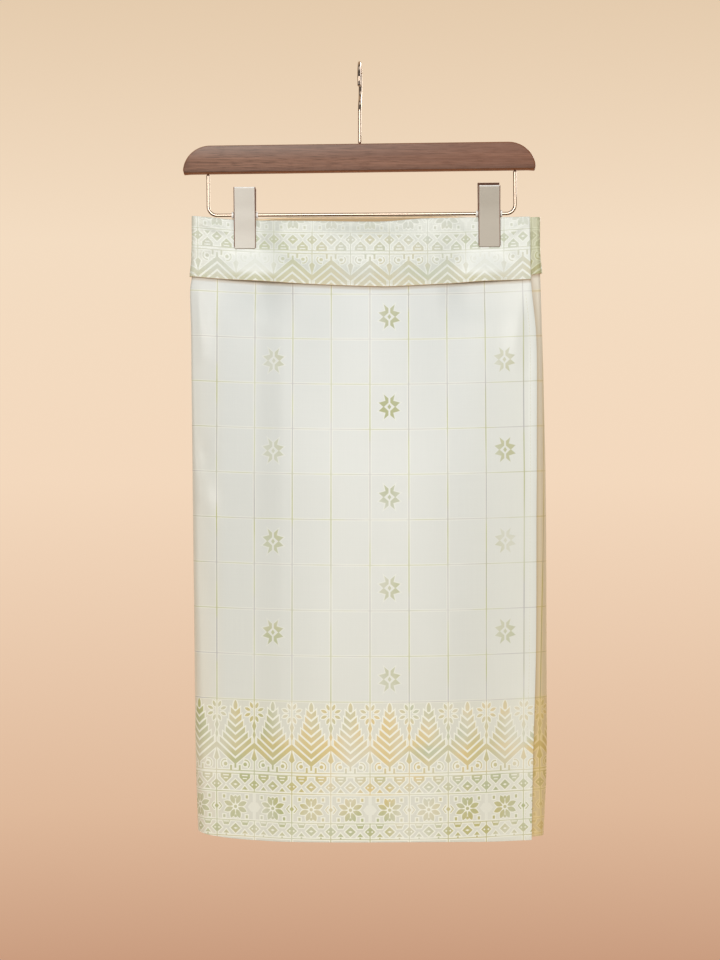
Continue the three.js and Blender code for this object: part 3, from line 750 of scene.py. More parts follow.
# Creases, one by one: a line across the cloth, how wide the swell is and how high, outward positive.
frontCreases = [
    {"from": (-166, -238), "to": (-161, -296), "wide": 9, "high": 2.2},
    {"from": (-161, -384), "to": (-156, -412), "wide": 8, "high": -1.60},
    {"from": (-158, -428), "to": (-152, -462), "wide": 9, "high": 1.76},
    {"from": (-163, -500), "to": (-154, -560), "wide": 10, "high": -1.12},
    {"from": (-140, -690), "to": (-150, -770), "wide": 16, "high": 1.44},
    {"from": (164, -232), "to": (158, -300), "wide": 10, "high": 1.76},
    {"from": (-122, -238), "to": (-96, -268), "wide": 9, "high": 0.6},
    {"from": (-96, -268), "to": (-70, -400), "wide": 26, "high": 0.35},
    {"from": (128, -240), "to": (112, -380), "wide": 28, "high": 0.5},
    {"from": (28, -300), "to": (20, -640), "wide": 34, "high": -0.96},
    {"from": (-40, -520), "to": (-46, -780), "wide": 26, "high": 0.96},
    {"from": (92, -560), "to": (100, -785), "wide": 28, "high": 1.12},
    {"from": (150, -640), "to": (158, -785), "wide": 16, "high": -1.12},
    {"from": (-60, -262), "to": (10, -276), "wide": 14, "high": 0.3},
]
bandTucks = [
    {"from": (-134, 14), "to": (-166, 6), "wide": 4, "high": 0.9},
    {"from": (-134, 26), "to": (-168, 40), "wide": 6, "high": 0.8},
    {"from": (-102, 22), "to": (-74, 8), "wide": 5, "high": 0.7},
    {"from": (-98, 34), "to": (-60, 50), "wide": 7, "high": 0.8},
    {"from": (116, 20), "to": (84, 6), "wide": 5, "high": 0.8},
    {"from": (116, 36), "to": (78, 54), "wide": 8, "high": 0.9},
    {"from": (150, 18), "to": (172, 5), "wide": 4, "high": 0.8},
    {"from": (148, 34), "to": (170, 52), "wide": 6, "high": 0.7},
    {"from": (-52, 12), "to": (48, 16), "wide": 9, "high": 0.8},
    {"from": (-16, 36), "to": (30, 40), "wide": 8, "high": 0.5},
]
backCreases = [
    {"from": (-156, -240), "to": (-150, -300), "wide": 10, "high": 1.60},
    {"from": (-120, -236), "to": (-84, -420), "wide": 24, "high": 1.44},
    {"from": (130, -236), "to": (108, -430), "wide": 24, "high": 1.44},
    {"from": (166, -380), "to": (158, -440), "wide": 10, "high": -1.44},
    {"from": (10, -300), "to": (2, -600), "wide": 34, "high": -1.28},
    {"from": (-60, -560), "to": (-66, -780), "wide": 26, "high": 1.44},
    {"from": (70, -600), "to": (78, -780), "wide": 28, "high": 1.28},
    {"from": (150, -600), "to": (160, -780), "wide": 18, "high": 1.28},
    {"from": (-140, -640), "to": (-150, -770), "wide": 18, "high": -1.12},
]
pressedFold = {"level": -417.5, "above": 46, "below": 150, "high": 2.6, "crisp": 3.0,
               "sway": 0.7, "swayAcross": 47}
ripple = {"high": 0.16, "across": 23, "down": 58, "swayAcross": 37, "swayDown": 71,
          "turnAcross": 1.3, "turnDown": 0.9}


def towards(x, z, crease):  # share of the way along a crease, and how far beside it
    (x0, z0), (x1, z1) = crease["from"], crease["to"]
    dx, dz = x1 - x0, z1 - z0
    along = np.clip(((x - x0) * dx + (z - z0) * dz) / (dx * dx + dz * dz), 0, 1)
    return along, np.hypot(x - x0 - along * dx, z - z0 - along * dz)


def creaseHeight(x, z, creases, facing):
    total = np.zeros_like(x)
    for crease in creases:
        along, away = towards(x, z, crease)
        taper = 0.35 + 0.65 * np.sin(np.pi * np.clip(along, 0.04, 0.96))
        total += crease["high"] * taper * np.exp(-(away / crease["wide"]) ** 2)
    fold, wave = pressedFold, ripple
    drop = z - fold["level"] - fold["sway"] * np.sin(x / fold["swayAcross"])
    reach = np.where(drop > 0, fold["above"], fold["below"])
    ridge = np.exp(-np.sqrt(drop ** 2 + fold["crisp"] ** 2) / reach)
    total += -facing * fold["high"] * ridge
    swell = np.sin(x / wave["across"] + wave["turnAcross"] * np.sin(z / wave["swayDown"]))
    swell = swell * np.sin(z / wave["down"] + wave["turnDown"] * np.sin(x / wave["swayAcross"]))
    return total + wave["high"] * swell


def unit(vector):
    return vector / np.linalg.norm(vector, axis=-1, keepdims=True)


def gridNormals(points, facing, joins):
    padded = np.concatenate([2 * points[:1] - points[1:2], points, 2 * points[-1:] - points[-2:-1]])
    if joins[0]:
        padded[0] = points[1] * (1, -1, 1)
    if joins[1]:
        padded[-1] = points[-2] * (1, -1, 1)
    across = padded[2:] - padded[:-2]
    down = np.gradient(points, axis=1)
    return unit(np.cross(across, down) * facing)


def clothColumns(start, end, downs, spacing, turnSteps=12):
    # places across for every row: by angle round a fold, by distance elsewhere
    def foldPlaces(side):
        angles = np.linspace(0, np.pi / 2, turnSteps + 1)[:, None]
        fold, radius = edges[side + "Fold"](downs), edges[side + "Round"](downs)
        return fold + (1 if side == "left" else -1) * radius * (1 - np.cos(angles))
    first = foldPlaces("left") if start == "left" else (start(downs) + 0 * downs)[None]
    last = foldPlaces("right")[::-1] if end == "right" else (end(downs) + 0 * downs)[None]
    count = int(np.ceil((last[0] - first[-1]).max() / spacing))
    share = np.linspace(0, 1, count + 1)[1:-1, None]
    return np.concatenate([first, first[-1] + share * (last[0] - first[-1]), last])


def patternRise(x, z):  # how far a woven row sits above its level in the middle
    aside, high = wrap["patternReach"]
    side = ((x - wrap["patternMiddle"]) / aside) ** 2
    return wrap["patternRise"] * side * (0.35 + 0.65 * (z - wrap["hemLevel"]) / high)


edgeBend = [k * math.pi / 5 for k in range(1, 5)]       # round the top and the hem of a shell
sideBend = [math.radians(a) for a in (85, 60, 32)]      # round its free sides


def shellRings(points, normals, places, half, joins):
    # every ring runs down the outer face, round the hem, up the inner face and round the top
    topward = unit(points[:, 0] - points[:, 1])
    footward = unit(points[:, -1] - points[:, -2])
    last = len(points) - 1
    rings, marks = [], []

    def addRing(i, thin=1, shift=0):
        reach = half * thin
        face = normals[i] * reach
        foot = [points[i, -1] + footward[i] * reach * math.sin(t) + normals[i, -1] * reach * math.cos(t)
                for t in edgeBend]
        top = [points[i, 0] + topward[i] * reach * math.sin(t) - normals[i, 0] * reach * math.cos(t)
               for t in edgeBend]
        rings.append(np.concatenate([points[i] + face, foot, (points[i] - face)[::-1], top]) + shift)
        place = places[i]
        marks.append(np.concatenate([place, np.repeat(place[-1:], 4, 0), place[::-1],
                                     np.repeat(place[:1], 4, 0)]))
    if not joins[0]:
        outward = unit(points[0] - points[1]).mean(axis=0)
        for t in sideBend:
            addRing(0, math.cos(t), outward * half * math.sin(t))
    for i in range(last + 1):
        addRing(i)
    if not joins[1]:
        outward = unit(points[-1] - points[-2]).mean(axis=0)
        for t in sideBend[::-1]:
            addRing(last, math.cos(t), outward * half * math.sin(t))
    return rings, np.concatenate(marks)


def shellFaces(wide, rows, shadedFoot):
    # faces and their material slots: 0 outside, 1 on the reverse, which starts sooner on a shaded foot: the
    # tan reverse round a band's foot is painted shade
    size = 2 * rows + 8
    i, k = np.meshgrid(np.arange(wide - 1), np.arange(size), indexing="ij")
    after = (k + 1) % size
    quads = [i * size + k, i * size + after, (i + 1) * size + after, (i + 1) * size + k]
    faces = np.stack(quads, -1).reshape(-1, 4).tolist()
    innerRows = np.arange(rows + (0 if shadedFoot else 4), 2 * rows + 3)
    slots = np.isin(k, innerRows).reshape(-1).astype(int).tolist()
    for base, flip in ((0, False), ((wide - 1) * size, True)):
        cap = [[j, j + 1, 2 * rows + 2 - j, 2 * rows + 3 - j] for j in range(rows - 1)]
        cap.append([*range(rows - 1, rows + 5)])
        cap.append([0, *range(size - 1, size - 6, -1)][::-1])
        for face in cap:
            face = [base + vertex for vertex in face]
            faces.append(face if flip else face[::-1])
            slots.append(0)
    return faces, slots


def shellMesh(name, points, normals, places, joins, materials, shadedFoot):
    rings, marks = shellRings(points, normals, places, wrap["wall"] / 2, joins)
    faces, slots = shellFaces(len(rings), points.shape[1], shadedFoot)
    size = len(rings[0])
    mesh = bpy.data.meshes.new(name)
    mesh.from_pydata((np.concatenate(rings) * mm).tolist(), [], faces)
    bm = bmesh.new()
    bm.from_mesh(mesh)
    if bm.calc_volume(signed=True) < 0:
        bmesh.ops.reverse_faces(bm, faces=bm.faces)
    for edge in bm.edges:       # sharp only where two stretches meet at a fold
        onStart = all(vertex.index < size for vertex in edge.verts)
        onEnd = all(vertex.index >= (len(rings) - 1) * size for vertex in edge.verts)
        edge.smooth = not ((joins[0] and onStart) or (joins[1] and onEnd))
    bm.to_mesh(mesh)
    bm.free()
    mesh.polygons.foreach_set("material_index", slots)
    mesh.shade_smooth()
    layer = mesh.uv_layers.new(name="clothPlace")
    corners = np.zeros(len(mesh.loops), int)
    mesh.loops.foreach_get("vertex_index", corners)
    layer.data.foreach_set("uv", (marks[corners, :2] * mm).reshape(-1))
    for label, column in (("paintedHighlight", 2), ("bandShade", 3)):
        mesh.attributes.new(label, "FLOAT", "POINT").data.foreach_set("value", marks[:, column])
    for material in materials:
        mesh.materials.append(material)
    piece = bpy.data.objects.new(name, mesh)
    scene.collection.objects.link(piece)
    return piece


def acrossLength(points):  # distance along the cloth from the left, for every row
    steps = np.linalg.norm(np.diff(points, axis=0), axis=-1)
    return np.concatenate([np.zeros((1, points.shape[1])), np.cumsum(steps, axis=0)])


def bandPlaces(x, z):
    side = ((x - wrap["patternMiddle"]) / wrap["bandReach"]) ** 2
    return wrap["bandFigure"] + wrap["bandRise"] * side - z


calm = {"fold": (0, 9), "clipAside": (12, 26), "clipDown": (36, 60), "topDown": (8, 80)}


def foldCalm(x, down):  # creases die out towards a fold, under the clips and towards the top
    fromLeft = x - edges["leftFold"](down)
    fromRight = edges["rightFold"](down) - x
    underClip = (1 - eased(besideClip(x), *calm["clipAside"])) * (1 - eased(down, *calm["clipDown"]))
    inward = eased(np.minimum(fromLeft, fromRight), *calm["fold"])
    return inward * (1 - underClip) * (0.25 + 0.75 * eased(down, *calm["topDown"]))


# Below each clip the band swells, and a painted highlight there all but hides its figure.
highlightPatches = [{"x": -108, "wide": 27}, {"x": 126, "wide": 24}]
bandBulges = [{"x": -104, "wide": 32}, {"x": 124, "wide": 27}]
bandForm = {"bulge": 4.2, "bulgeFrom": (31, 55), "foot": 1.0, "footFrom": (44, 66),
            "highlightFrom": (28, 36), "highlightTo": (54, 63)}


# painted highlight below each clip, part way down the band
def clipPaintedHighlight(x, down):
    near = [np.exp(-((x - patch["x"]) / patch["wide"]) ** 4) for patch in highlightPatches]
    return np.maximum(*near) * eased(down, *bandForm["highlightFrom"]) * (1 - eased(down, *bandForm["highlightTo"]))


def bandFoot(x, down):  # the band stands off along its foot
    return wrap["layerStep"] + bandForm["foot"] * eased(down, *bandForm["footFrom"]) + 0 * x


def bandTuck(x, down, tuck):
    along, away = towards(x, down, tuck)
    return tuck["high"] * (0.3 + 0.7 * np.sin(np.pi * along)) * np.exp(-(away / tuck["wide"]) ** 2)


def lapSurface(x, down):  # the free edge is turned under and sewn down
    start, end, high = wrap["turnedEdge"]
    freeEdge = edges["freeEdge"](down)
    return lapLift(x, down) + high * eased(x, freeEdge - start, freeEdge - end)


def frontBandSurface(x, down):
    near = np.maximum(*[np.exp(-((x - bulge["x"]) / bulge["wide"]) ** 2) for bulge in bandBulges])
    swell = bandForm["bulge"] * near * eased(down, *bandForm["bulgeFrom"])
    return lapLift(x, down) + bandFoot(x, down) + swell + sum(bandTuck(x, down, tuck) for tuck in bandTucks)


def flatSurface(x, down):
    return 0 * x


def underBandSurface(x, down):
    return wrap["layerStep"] + 0 * x


def underEdge(down):
    return np.full_like(down, wrap["underEdge"])


def rowsDown(above, below):     # closer together near the band
    turn = wrap["fineRows"]
    upper = np.linspace(wrap["shy"], turn, above)
    return np.concatenate([upper[:-1], np.linspace(turn, wrap["long"], below)])


panelRows = rowsDown(34, 216)
coarseRows = rowsDown(26, 166)
bandRows = np.linspace(0, wrap["bandDeep"], 40)

# start and end say where a stretch begins and ends across, "left" and "right" being the folds that it
# joins the next one at. The back follows the front lap and the under lap the back, because the pattern
# runs on round the folds.
frontSpan = {"facing": -1, "heights": frontHeights, "start": "left", "end": edges["freeEdge"],
             "creases": frontCreases}
backSpan = {"facing": 1, "heights": backHeights, "start": "left", "end": "right", "creases": backCreases}
underSpan = {"facing": -1, "heights": underHeights, "start": underEdge, "end": "right",
             "creases": frontCreases}
stretches = {
    "frontLap": {**frontSpan, "node": "front_lap", "slot": "brocade", "face": "brocadeFace",
                 "rows": panelRows, "spacing": 2.5, "lift": lapSurface},
    "backBody": {**backSpan, "node": "back_body", "slot": "brocade", "face": "brocadeFace",
                 "rows": coarseRows, "spacing": 3.2, "lift": flatSurface},
    "underLap": {**underSpan, "node": "under_lap", "slot": "under_brocade", "face": "shadedUnderFace",
                 "rows": coarseRows, "spacing": 3.2, "lift": flatSurface},
    "frontWaistband": {**frontSpan, "node": "front_waistband", "slot": "waistband_brocade",
                       "face": "bandFace", "rows": bandRows, "spacing": 1.9, "lift": frontBandSurface},
    "backWaistband": {**backSpan, "node": "back_waistband", "slot": "waistband_brocade",
                      "face": "bandFace", "rows": bandRows, "spacing": 2.2, "lift": bandFoot},
    "underWaistband": {**underSpan, "node": "under_waistband", "slot": "under_brocade",
                       "face": "shadedUnderBandFace", "rows": bandRows, "spacing": 2.2, "lift": underBandSurface},
}
surfaces = {}                   # outer face of every stretch, for the sewing
foldPlace = {}                  # where the pattern has got to at each fold, by row


def patternAcross(x, along, downs, facing, joins):  # carried on round the folds
    if facing > 0:
        u = np.interp(downs, *foldPlace["left"]) - along
        foldPlace["right"] = (downs, u[-1])
        return u
    if joins[1]:                # the under lap starts at the right fold and runs back
        return np.interp(downs, *foldPlace["right"]) + along[-1] - along
    middle = [np.interp(wrap["patternMiddle"], x[:, j], along[:, j]) for j in range(x.shape[1])]
    u = along - np.array(middle) + wrap["patternMiddle"]
    foldPlace["left"] = (downs, u[0])
    return u


def clothPiece(name, node, slot, face, facing, heights, start, end, creases, rows, spacing, lift):
    band = rows is bandRows
    joins = (start == "left", end == "right")
    bow = wrap["frontBow"] if facing < 0 else wrap["backBow"]
    x = clothColumns(start, end, rows, spacing)
    down = np.broadcast_to(rows, x.shape)
    base = surfacePoint(x, down, facing, bow, columnsOf(heights, "across"))
    normals = gridNormals(base, facing, joins)
    out = lift(x, down) + creaseHeight(x, base[..., 2], creases, facing) * foldCalm(x, down)
    points = base + normals * out[..., None]
    normals = gridNormals(points, facing, joins)
    surfaces[name] = (x, points + normals * wrap["wall"] / 2)
    z = base[..., 2]
    u = patternAcross(x, acrossLength(base), rows, facing, joins)
    v = bandPlaces(x, z) if band else z - wrap["hemLevel"] - patternRise(x, z)
    # painted highlight on the front band below the clips
    paintedHighlight = clipPaintedHighlight(x, down) * (band and facing < 0)
    shade = (1 - eased(down, wrap["bandDeep"] + 0.5, wrap["bandDeep"] + 4.5)) * (not band)
    if name == "underLap":      # and darker where the lap lies over it
        shade = np.maximum(shade, 0.55 * (1 - eased(x - edges["freeEdge"](down), 0, 5)))
    piece = shellMesh(name, points, normals, np.stack([u, v, paintedHighlight, shade], -1), joins,
                      [clothFaces[face], clothFaces["brocadeReverse"]], band)
    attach(piece, "root")
    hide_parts(node)
    return piece


clothPieces = [clothPiece(name, **stretch) for name, stretch in stretches.items()]
print("cloth ready")

# ---- sewing

sewing = {
    "long": 0.0022,             # of one stitch
    "apart": 0.0034,
    "thick": 0.00042,
    "inFromEdge": 6.2,          # millimetres from the lap's free edge
    "bandLevel": 62.4,          # millimetres down the band
    "colour": (0.66, 0.66, 0.52),
}


def makeStitcher():
    tree = bpy.data.node_groups.new("runningStitch", "GeometryNodeTree")
    face = tree.interface
    face.new_socket("Geometry", in_out="INPUT", socket_type="NodeSocketGeometry")
    for label in ("Apart", "Long", "Thick"):
        face.new_socket(label, in_out="INPUT", socket_type="NodeSocketFloat")
    face.new_socket("Thread", in_out="INPUT", socket_type="NodeSocketMaterial")
    face.new_socket("Geometry", in_out="OUTPUT", socket_type="NodeSocketGeometry")
    new = tree.nodes.new
    start, end = new("NodeGroupInput"), new("NodeGroupOutput")
    curve, points = new("GeometryNodeMeshToCurve"), new("GeometryNodeCurveToPoints")
    points.mode = "LENGTH"
    bead = new("GeometryNodeMeshUVSphere")
    for label, value in (("Segments", 8), ("Rings", 6), ("Radius", 0.5)):
        bead.inputs[label].default_value = value
    size, turn = new("ShaderNodeCombineXYZ"), new("FunctionNodeAlignRotationToVector")
    turn.axis = "Z"
    place, real = new("GeometryNodeInstanceOnPoints"), new("GeometryNodeRealizeInstances")
    smooth, paint = new("GeometryNodeSetShadeSmooth"), new("GeometryNodeSetMaterial")
    for source, output, target, entry in (
            (start, "Geometry", curve, "Mesh"), (curve, "Curve", points, "Curve"),
            (start, "Apart", points, "Length"), (start, "Thick", size, "X"), (start, "Thick", size, "Y"),
            (start, "Long", size, "Z"), (points, "Points", place, "Points"),
            (bead, "Mesh", place, "Instance"), (points, "Tangent", turn, "Vector"),
            (turn, "Rotation", place, "Rotation"),
            (size, "Vector", place, "Scale"), (place, "Instances", real, "Geometry"),
            (real, "Geometry", smooth, 0), (smooth, 0, paint, "Geometry"),
            (start, "Thread", paint, "Material"), (paint, "Geometry", end, "Geometry")):
        tree.links.new(source.outputs[output], target.inputs[entry])
    return tree


def sewRow(name, line):
    path = bpy.data.meshes.new(name + "Path")
    path.from_pydata((line * mm).tolist(), [(k, k + 1) for k in range(len(line) - 1)], [])
    row = bpy.data.objects.new(name, path)
    scene.collection.objects.link(row)
    modifier = row.modifiers.new("stitch", "NODES")
    modifier.node_group = stitcher
    values = {"Apart": sewing["apart"], "Long": sewing["long"], "Thick": sewing["thick"], "Thread": thread}
    for item in stitcher.interface.items_tree:
        if item.in_out == "INPUT" and item.name in values:
            modifier[item.identifier] = values[item.name]
    row.update_tag()
    ready = row.evaluated_get(bpy.context.evaluated_depsgraph_get())
    mesh = bpy.data.meshes.new_from_object(ready)
    row.modifiers.remove(modifier)
    row.data = mesh
    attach(row, "root")
    return row


thread = plainMaterial("sewingThread", sewing["colour"], 0.5)
stitcher = makeStitcher()


def rowLine(name, level):       # along a band, from end to end
    return surfaces[name][1][2:-2, int(np.argmin(abs(bandRows - level)))]


def edgeLine(name, inFromEdge, start):   # down the lap beside its free edge
    across, points = surfaces[name]
    place = across[-1] - inFromEdge
    rows = range(start, across.shape[1] - 1)
    return np.array([[np.interp(place[j], across[:, j], points[:, j, k]) for k in range(3)] for j in rows])


def bandStitches(title, piece):
    return sewRow(title, rowLine(piece, sewing["bandLevel"]))


stitches = {
    "frontLap": sewRow("lapEdgeStitches", edgeLine("frontLap", sewing["inFromEdge"], 34)),
    "frontWaistband": bandStitches("frontBandStitches", "frontWaistband"),
    "backWaistband": bandStitches("backBandStitches", "backWaistband"),
    "underWaistband": bandStitches("underBandStitches", "underWaistband"),
}
print("sewing ready")

# ---- hanger: shared mesh makers, all sizes in millimetres

hanger = {
    "wire": 1.75,
    "bar": {"long": 360.6, "high": 28.3, "thick": 12, "shoulder": 28, "edge": 1.5, "tilt": 0.75, "x": -0.3,
            "z": -109.6, "crispCorner": 1.35},
    "rail": {"left": -155, "right": 159.1, "bend": 9, "z": -153.1, "tilt": 0.365},
    "hook": {"bend": 18.9, "tip": 200, "heel": -55, "straight": 5.94, "neck": 14, "turn": -2},
    "clip": {"wide": 22.5, "top": 28, "foot": -34.6, "sheet": 1.0, "corner": 1.8, "grip": 1.0,
             "backRise": 4.4},
    "barrel": {"inner": 2.05, "outer": 2.6, "collar": 3.4, "long": 27, "collarLong": 1.8, "soft": 0.35},
    "ear": {"outer": 4.0, "hole": 3.0, "thick": 1.0, "soft": 0.18},
    "joint": 0.3,               # air between wire and bar
}


def loftFaces(rings, around, loops, base=0):
    # quads between rings of points; loops tells whether the last ring joins the first
    faces = []
    for i in range(rings if loops else rings - 1):
        j = (i + 1) % rings
        for k in range(around):
            m = (k + 1) % around
            faces.append((i * around + k, i * around + m, j * around + m, j * around + k))
    if not loops:
        faces.append(tuple(range(around))[::-1])
        faces.append(tuple((rings - 1) * around + k for k in range(around)))
    return [tuple(base + vertex for vertex in face) for face in faces]


def placed(points, place):
    return points.reshape(-1, 3) @ np.array(place.to_3x3()).T + np.array(place.translation)


def hangerPiece(name, node, points, loops, material, place):
    mesh = bpy.data.meshes.new(name)
    faces = loftFaces(*points.shape[:2], loops)
    mesh.from_pydata((placed(points, place) * mm).tolist(), [], faces)
    return finishedMesh(name, node, mesh, material)


def finishedMesh(name, node, mesh, material):
    bm = bmesh.new()
    bm.from_mesh(mesh)
    if bm.calc_volume(signed=True) < 0:
        bmesh.ops.reverse_faces(bm, faces=bm.faces)
    bm.to_mesh(mesh)
    bm.free()
    mesh.shade_smooth()
    mesh.set_sharp_from_angle(angle=math.radians(50))
    mesh.materials.append(material)
    piece = bpy.data.objects.new(name, mesh)
    scene.collection.objects.link(piece)
    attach(piece, "root")
    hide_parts(node)
    return piece


def roundTube(knots, radius, sides=28):
    # rings along a bent wire, both ends rounded over
    knots = np.array(knots, float)
    runs = unit(np.diff(knots, axis=0))
    tangents = unit(np.concatenate([runs[:1], runs[:-1] + runs[1:], runs[-1:]]))
    side = np.cross(tangents[0], (0.3, 0.9, 0.1))
    angles = np.linspace(0, 2 * np.pi, sides, endpoint=False)
    last = len(knots) - 1
    endTurns = (0.4, 0.8, 1.2, 1.5)
    stations = [(knots[0] - tangents[0] * radius * math.sin(t), 0, math.cos(t)) for t in endTurns[::-1]]
    stations += [(point, k, 1) for k, point in enumerate(knots)]
    stations += [(knots[last] + tangents[last] * radius * math.sin(t), last, math.cos(t)) for t in endTurns]
    rings = []
    for point, k, thin in stations:
        side = unit(side - tangents[k] * side.dot(tangents[k]))
        up = np.cross(tangents[k], side)
        circle = np.cos(angles)[:, None] * side + np.sin(angles)[:, None] * up
        rings.append(point + circle * radius * thin)
    return np.array(rings)


def arcKnots(centre, radius, start, end, step, place):
    count = max(2, round(abs(end - start) / step))
    turns = [math.radians(start + (end - start) * k / count) for k in range(count + 1)]
    return [place(centre[0] + radius * math.cos(t), centre[1] + radius * math.sin(t)) for t in turns]


def tilted(x, z, degrees):
    return Matrix.Translation((x, 0, z)) @ Matrix.Rotation(math.radians(-degrees), 4, "Y")


def barTop(x):
    bar = hanger["bar"]
    return bar["z"] + math.tan(math.radians(bar["tilt"])) * (x - bar["x"])


def makeBar():
    bar = hanger["bar"]
    edge = bar["edge"]
    half, high = bar["long"] / 2 - edge, bar["high"] - edge
    shoulder = bar["shoulder"] - edge
    turn = np.radians(np.linspace(0, 90, 25))
    right = np.stack([half - shoulder + shoulder * np.cos(turn), edge + (high - edge) * np.sin(turn)], 1)
    left = right[::-1] * (-1, 1)
    foot = np.stack([np.linspace(-half, half, 60), np.full(60, edge)], 1)[1:-1]
    top = np.stack([np.linspace(half - shoulder, shoulder - half, 60), np.full(60, high)], 1)[1:-1]
    line = np.concatenate([right, top, left, foot])
    run = np.roll(line, -1, 0) - np.roll(line, 1, 0)
    outward = unit(np.stack([run[:, 1], -run[:, 0]], 1))
    lowerCorners = [0, len(right) + len(top) + len(left) - 1]
    outward[lowerCorners] *= bar["crispCorner"]
    rounding = np.radians(np.linspace(0, 90, 9))
    stations = [(-1, t) for t in rounding[::-1]] + [(1, t) for t in rounding]
    rings = []
    for side, t in stations:
        flat = line + outward * edge * math.cos(t)
        y = side * (bar["thick"] / 2 - edge + edge * math.sin(t))
        rings.append(np.stack([flat[:, 0], np.full(len(flat), y), flat[:, 1]], 1))
    piece = hangerPiece("hangerBar", "hanger_bar", np.array(rings), False, walnut,
                        tilted(bar["x"], bar["z"], bar["tilt"]))
    rim = np.repeat([math.cos(t) ** 2 for _, t in stations], len(line))
    piece.data.attributes.new("rim", "FLOAT", "POINT").data.foreach_set("value", rim)


def makeHook():
    hook, wire = hanger["hook"], hanger["wire"]

    def place(across, up):
        return np.array((0, across, up))
    loop = arcKnots((0, wire - hook["bend"]), hook["bend"], hook["tip"], hook["heel"], 4, place)
    heel, lean = loop[-1], math.radians(-hook["heel"])
    runEnd = heel - place(math.sin(lean), math.cos(lean)) * hook["straight"]
    neckY = runEnd[1] - hook["neck"] * (1 - math.cos(lean))
    neck = (neckY + hook["neck"], runEnd[2] - hook["neck"] * math.sin(lean))
    bend = arcKnots(neck, hook["neck"], 180 + hook["heel"], 180, 4, place)
    foot = hanger["bar"]["z"] + hanger["bar"]["high"] + hanger["joint"] + wire
    knots = [*loop, *bend, place(neckY, foot)]
    hangerPiece("hook", "hook", roundTube(knots, wire), False, polishedWire,
                Matrix.Rotation(math.radians(hook["turn"]), 4, "Z"))


railMiddle = (hanger["rail"]["left"] + hanger["rail"]["right"]) / 2
railPlace = tilted(railMiddle, hanger["rail"]["z"], hanger["rail"]["tilt"])


def makeRail():
    rail, wire, bend = hanger["rail"], hanger["wire"], hanger["rail"]["bend"]
    half = (rail["right"] - rail["left"]) / 2
    slope = math.tan(math.radians(rail["tilt"]))

    def place(across, up):
        return np.array((across, 0, up))

    def legTop(x):              # just under the bar
        return barTop(x) - hanger["joint"] - wire - rail["z"] - slope * (x - railMiddle)
    knots = [place(-half, legTop(rail["left"]))]
    knots += arcKnots((bend - half, bend), bend, 180, 270, 6, place)
    knots += arcKnots((half - bend, bend), bend, 270, 360, 6, place)
    knots.append(place(half, legTop(rail["right"])))
    hangerPiece("clipRail", "clip_rail", roundTube(knots, wire), False, polishedWire,
                railPlace)


def softLine(corners, radii):
    # a bent strip's middle line with every corner rounded
    corners = np.array(corners, float)
    line = [corners[0]]
    for before, here, after, radius in zip(corners, corners[1:], corners[2:], radii):
        back, ahead = before - here, after - here
        reach = min(radius, 0.48 * np.linalg.norm(back), 0.48 * np.linalg.norm(ahead))
        start = here + back / np.linalg.norm(back) * reach
        end = here + ahead / np.linalg.norm(ahead) * reach
        for t in np.linspace(0, 1, 8):
            line.append((1 - t) ** 2 * start + 2 * t * (1 - t) * here + t * t * end)
    line.append(corners[-1])
    return np.array(line)


plateProfile = {                # beside the waist line: how far out, and at what height
    "jawBend": -20, "waist": -4, "ear": (0.6, 6), "crown": (3.2, -1.6), "lip": (2.6, -0.5),
    "lipEnd": (-0.6, -0.5), "radii": (7, 7, 4, 1.2, 0.6), "footFine": 3, "footSteps": 8,
}


def plateMiddle(jawLine, waistLine, top, foot):  # the bent sheet's middle line, from foot to lip
    p = plateProfile
    ear = (waistLine + p["ear"][0], p["ear"][1])
    upper = [(waistLine + aside, top + level) for aside, level in (p["crown"], p["lip"], p["lipEnd"])]
    corners = [(jawLine, foot), (jawLine, p["jawBend"]), (waistLine, p["waist"]), ear, *upper]
    turn = np.linspace(0, np.pi / 2, p["footSteps"])
    footRun = np.stack([np.full(p["footSteps"], jawLine), foot + p["footFine"] * (1 - np.cos(turn))], 1)
    return np.concatenate([footRun[:-1], softLine(corners, p["radii"])[1:]])


def plateRings(jaw, facing, rise):
    clip = hanger["clip"]
    foot, half = clip["foot"], clip["sheet"] / 2
    waistLine = max(jaw + half, hanger["ear"]["outer"] + 1.2)
    shape = plateMiddle(jaw + half, waistLine, clip["top"] + rise, foot + half)
    run = unit(np.gradient(shape, axis=0))
    out = np.stack([run[:, 1], -run[:, 0]], 1)
    endTurns = (0.6, 1.1, 1.45)
    stations = [(shape[0] - run[0] * half * math.sin(t), out[0], math.cos(t)) for t in endTurns[::-1]]
    stations += [(middle, away, 1) for middle, away in zip(shape, out)]
    stations += [(shape[-1] + run[-1] * half * math.sin(t), out[-1], math.cos(t)) for t in endTurns]
    side = np.radians(np.linspace(75, -75, 6))
    lift = np.concatenate([np.full(9, 1.0), np.sin(side), np.full(9, -1.0), -np.sin(side)])
    rings = []
    for middle, away, thin in stations:
        cut = max(0, 1 - (middle[1] - foot) / clip["corner"])
        wide = clip["wide"] / 2 - clip["corner"] * (1 - math.sqrt(max(0, 1 - cut * cut))) - half
        face = np.array([-1, 0.5 / wide - 1, -0.6, -0.3, 0, 0.3, 0.6, 1 - 0.5 / wide, 1]) * wide
        edge = wide + half * np.cos(side) * thin
        across = np.concatenate([face, edge, face[::-1], -edge])
        depth = middle[0] + away[0] * half * lift * thin
        up = middle[1] + away[1] * half * lift * thin
        rings.append(np.stack([across, facing * depth, up], 1))
    return np.array(rings), waistLine


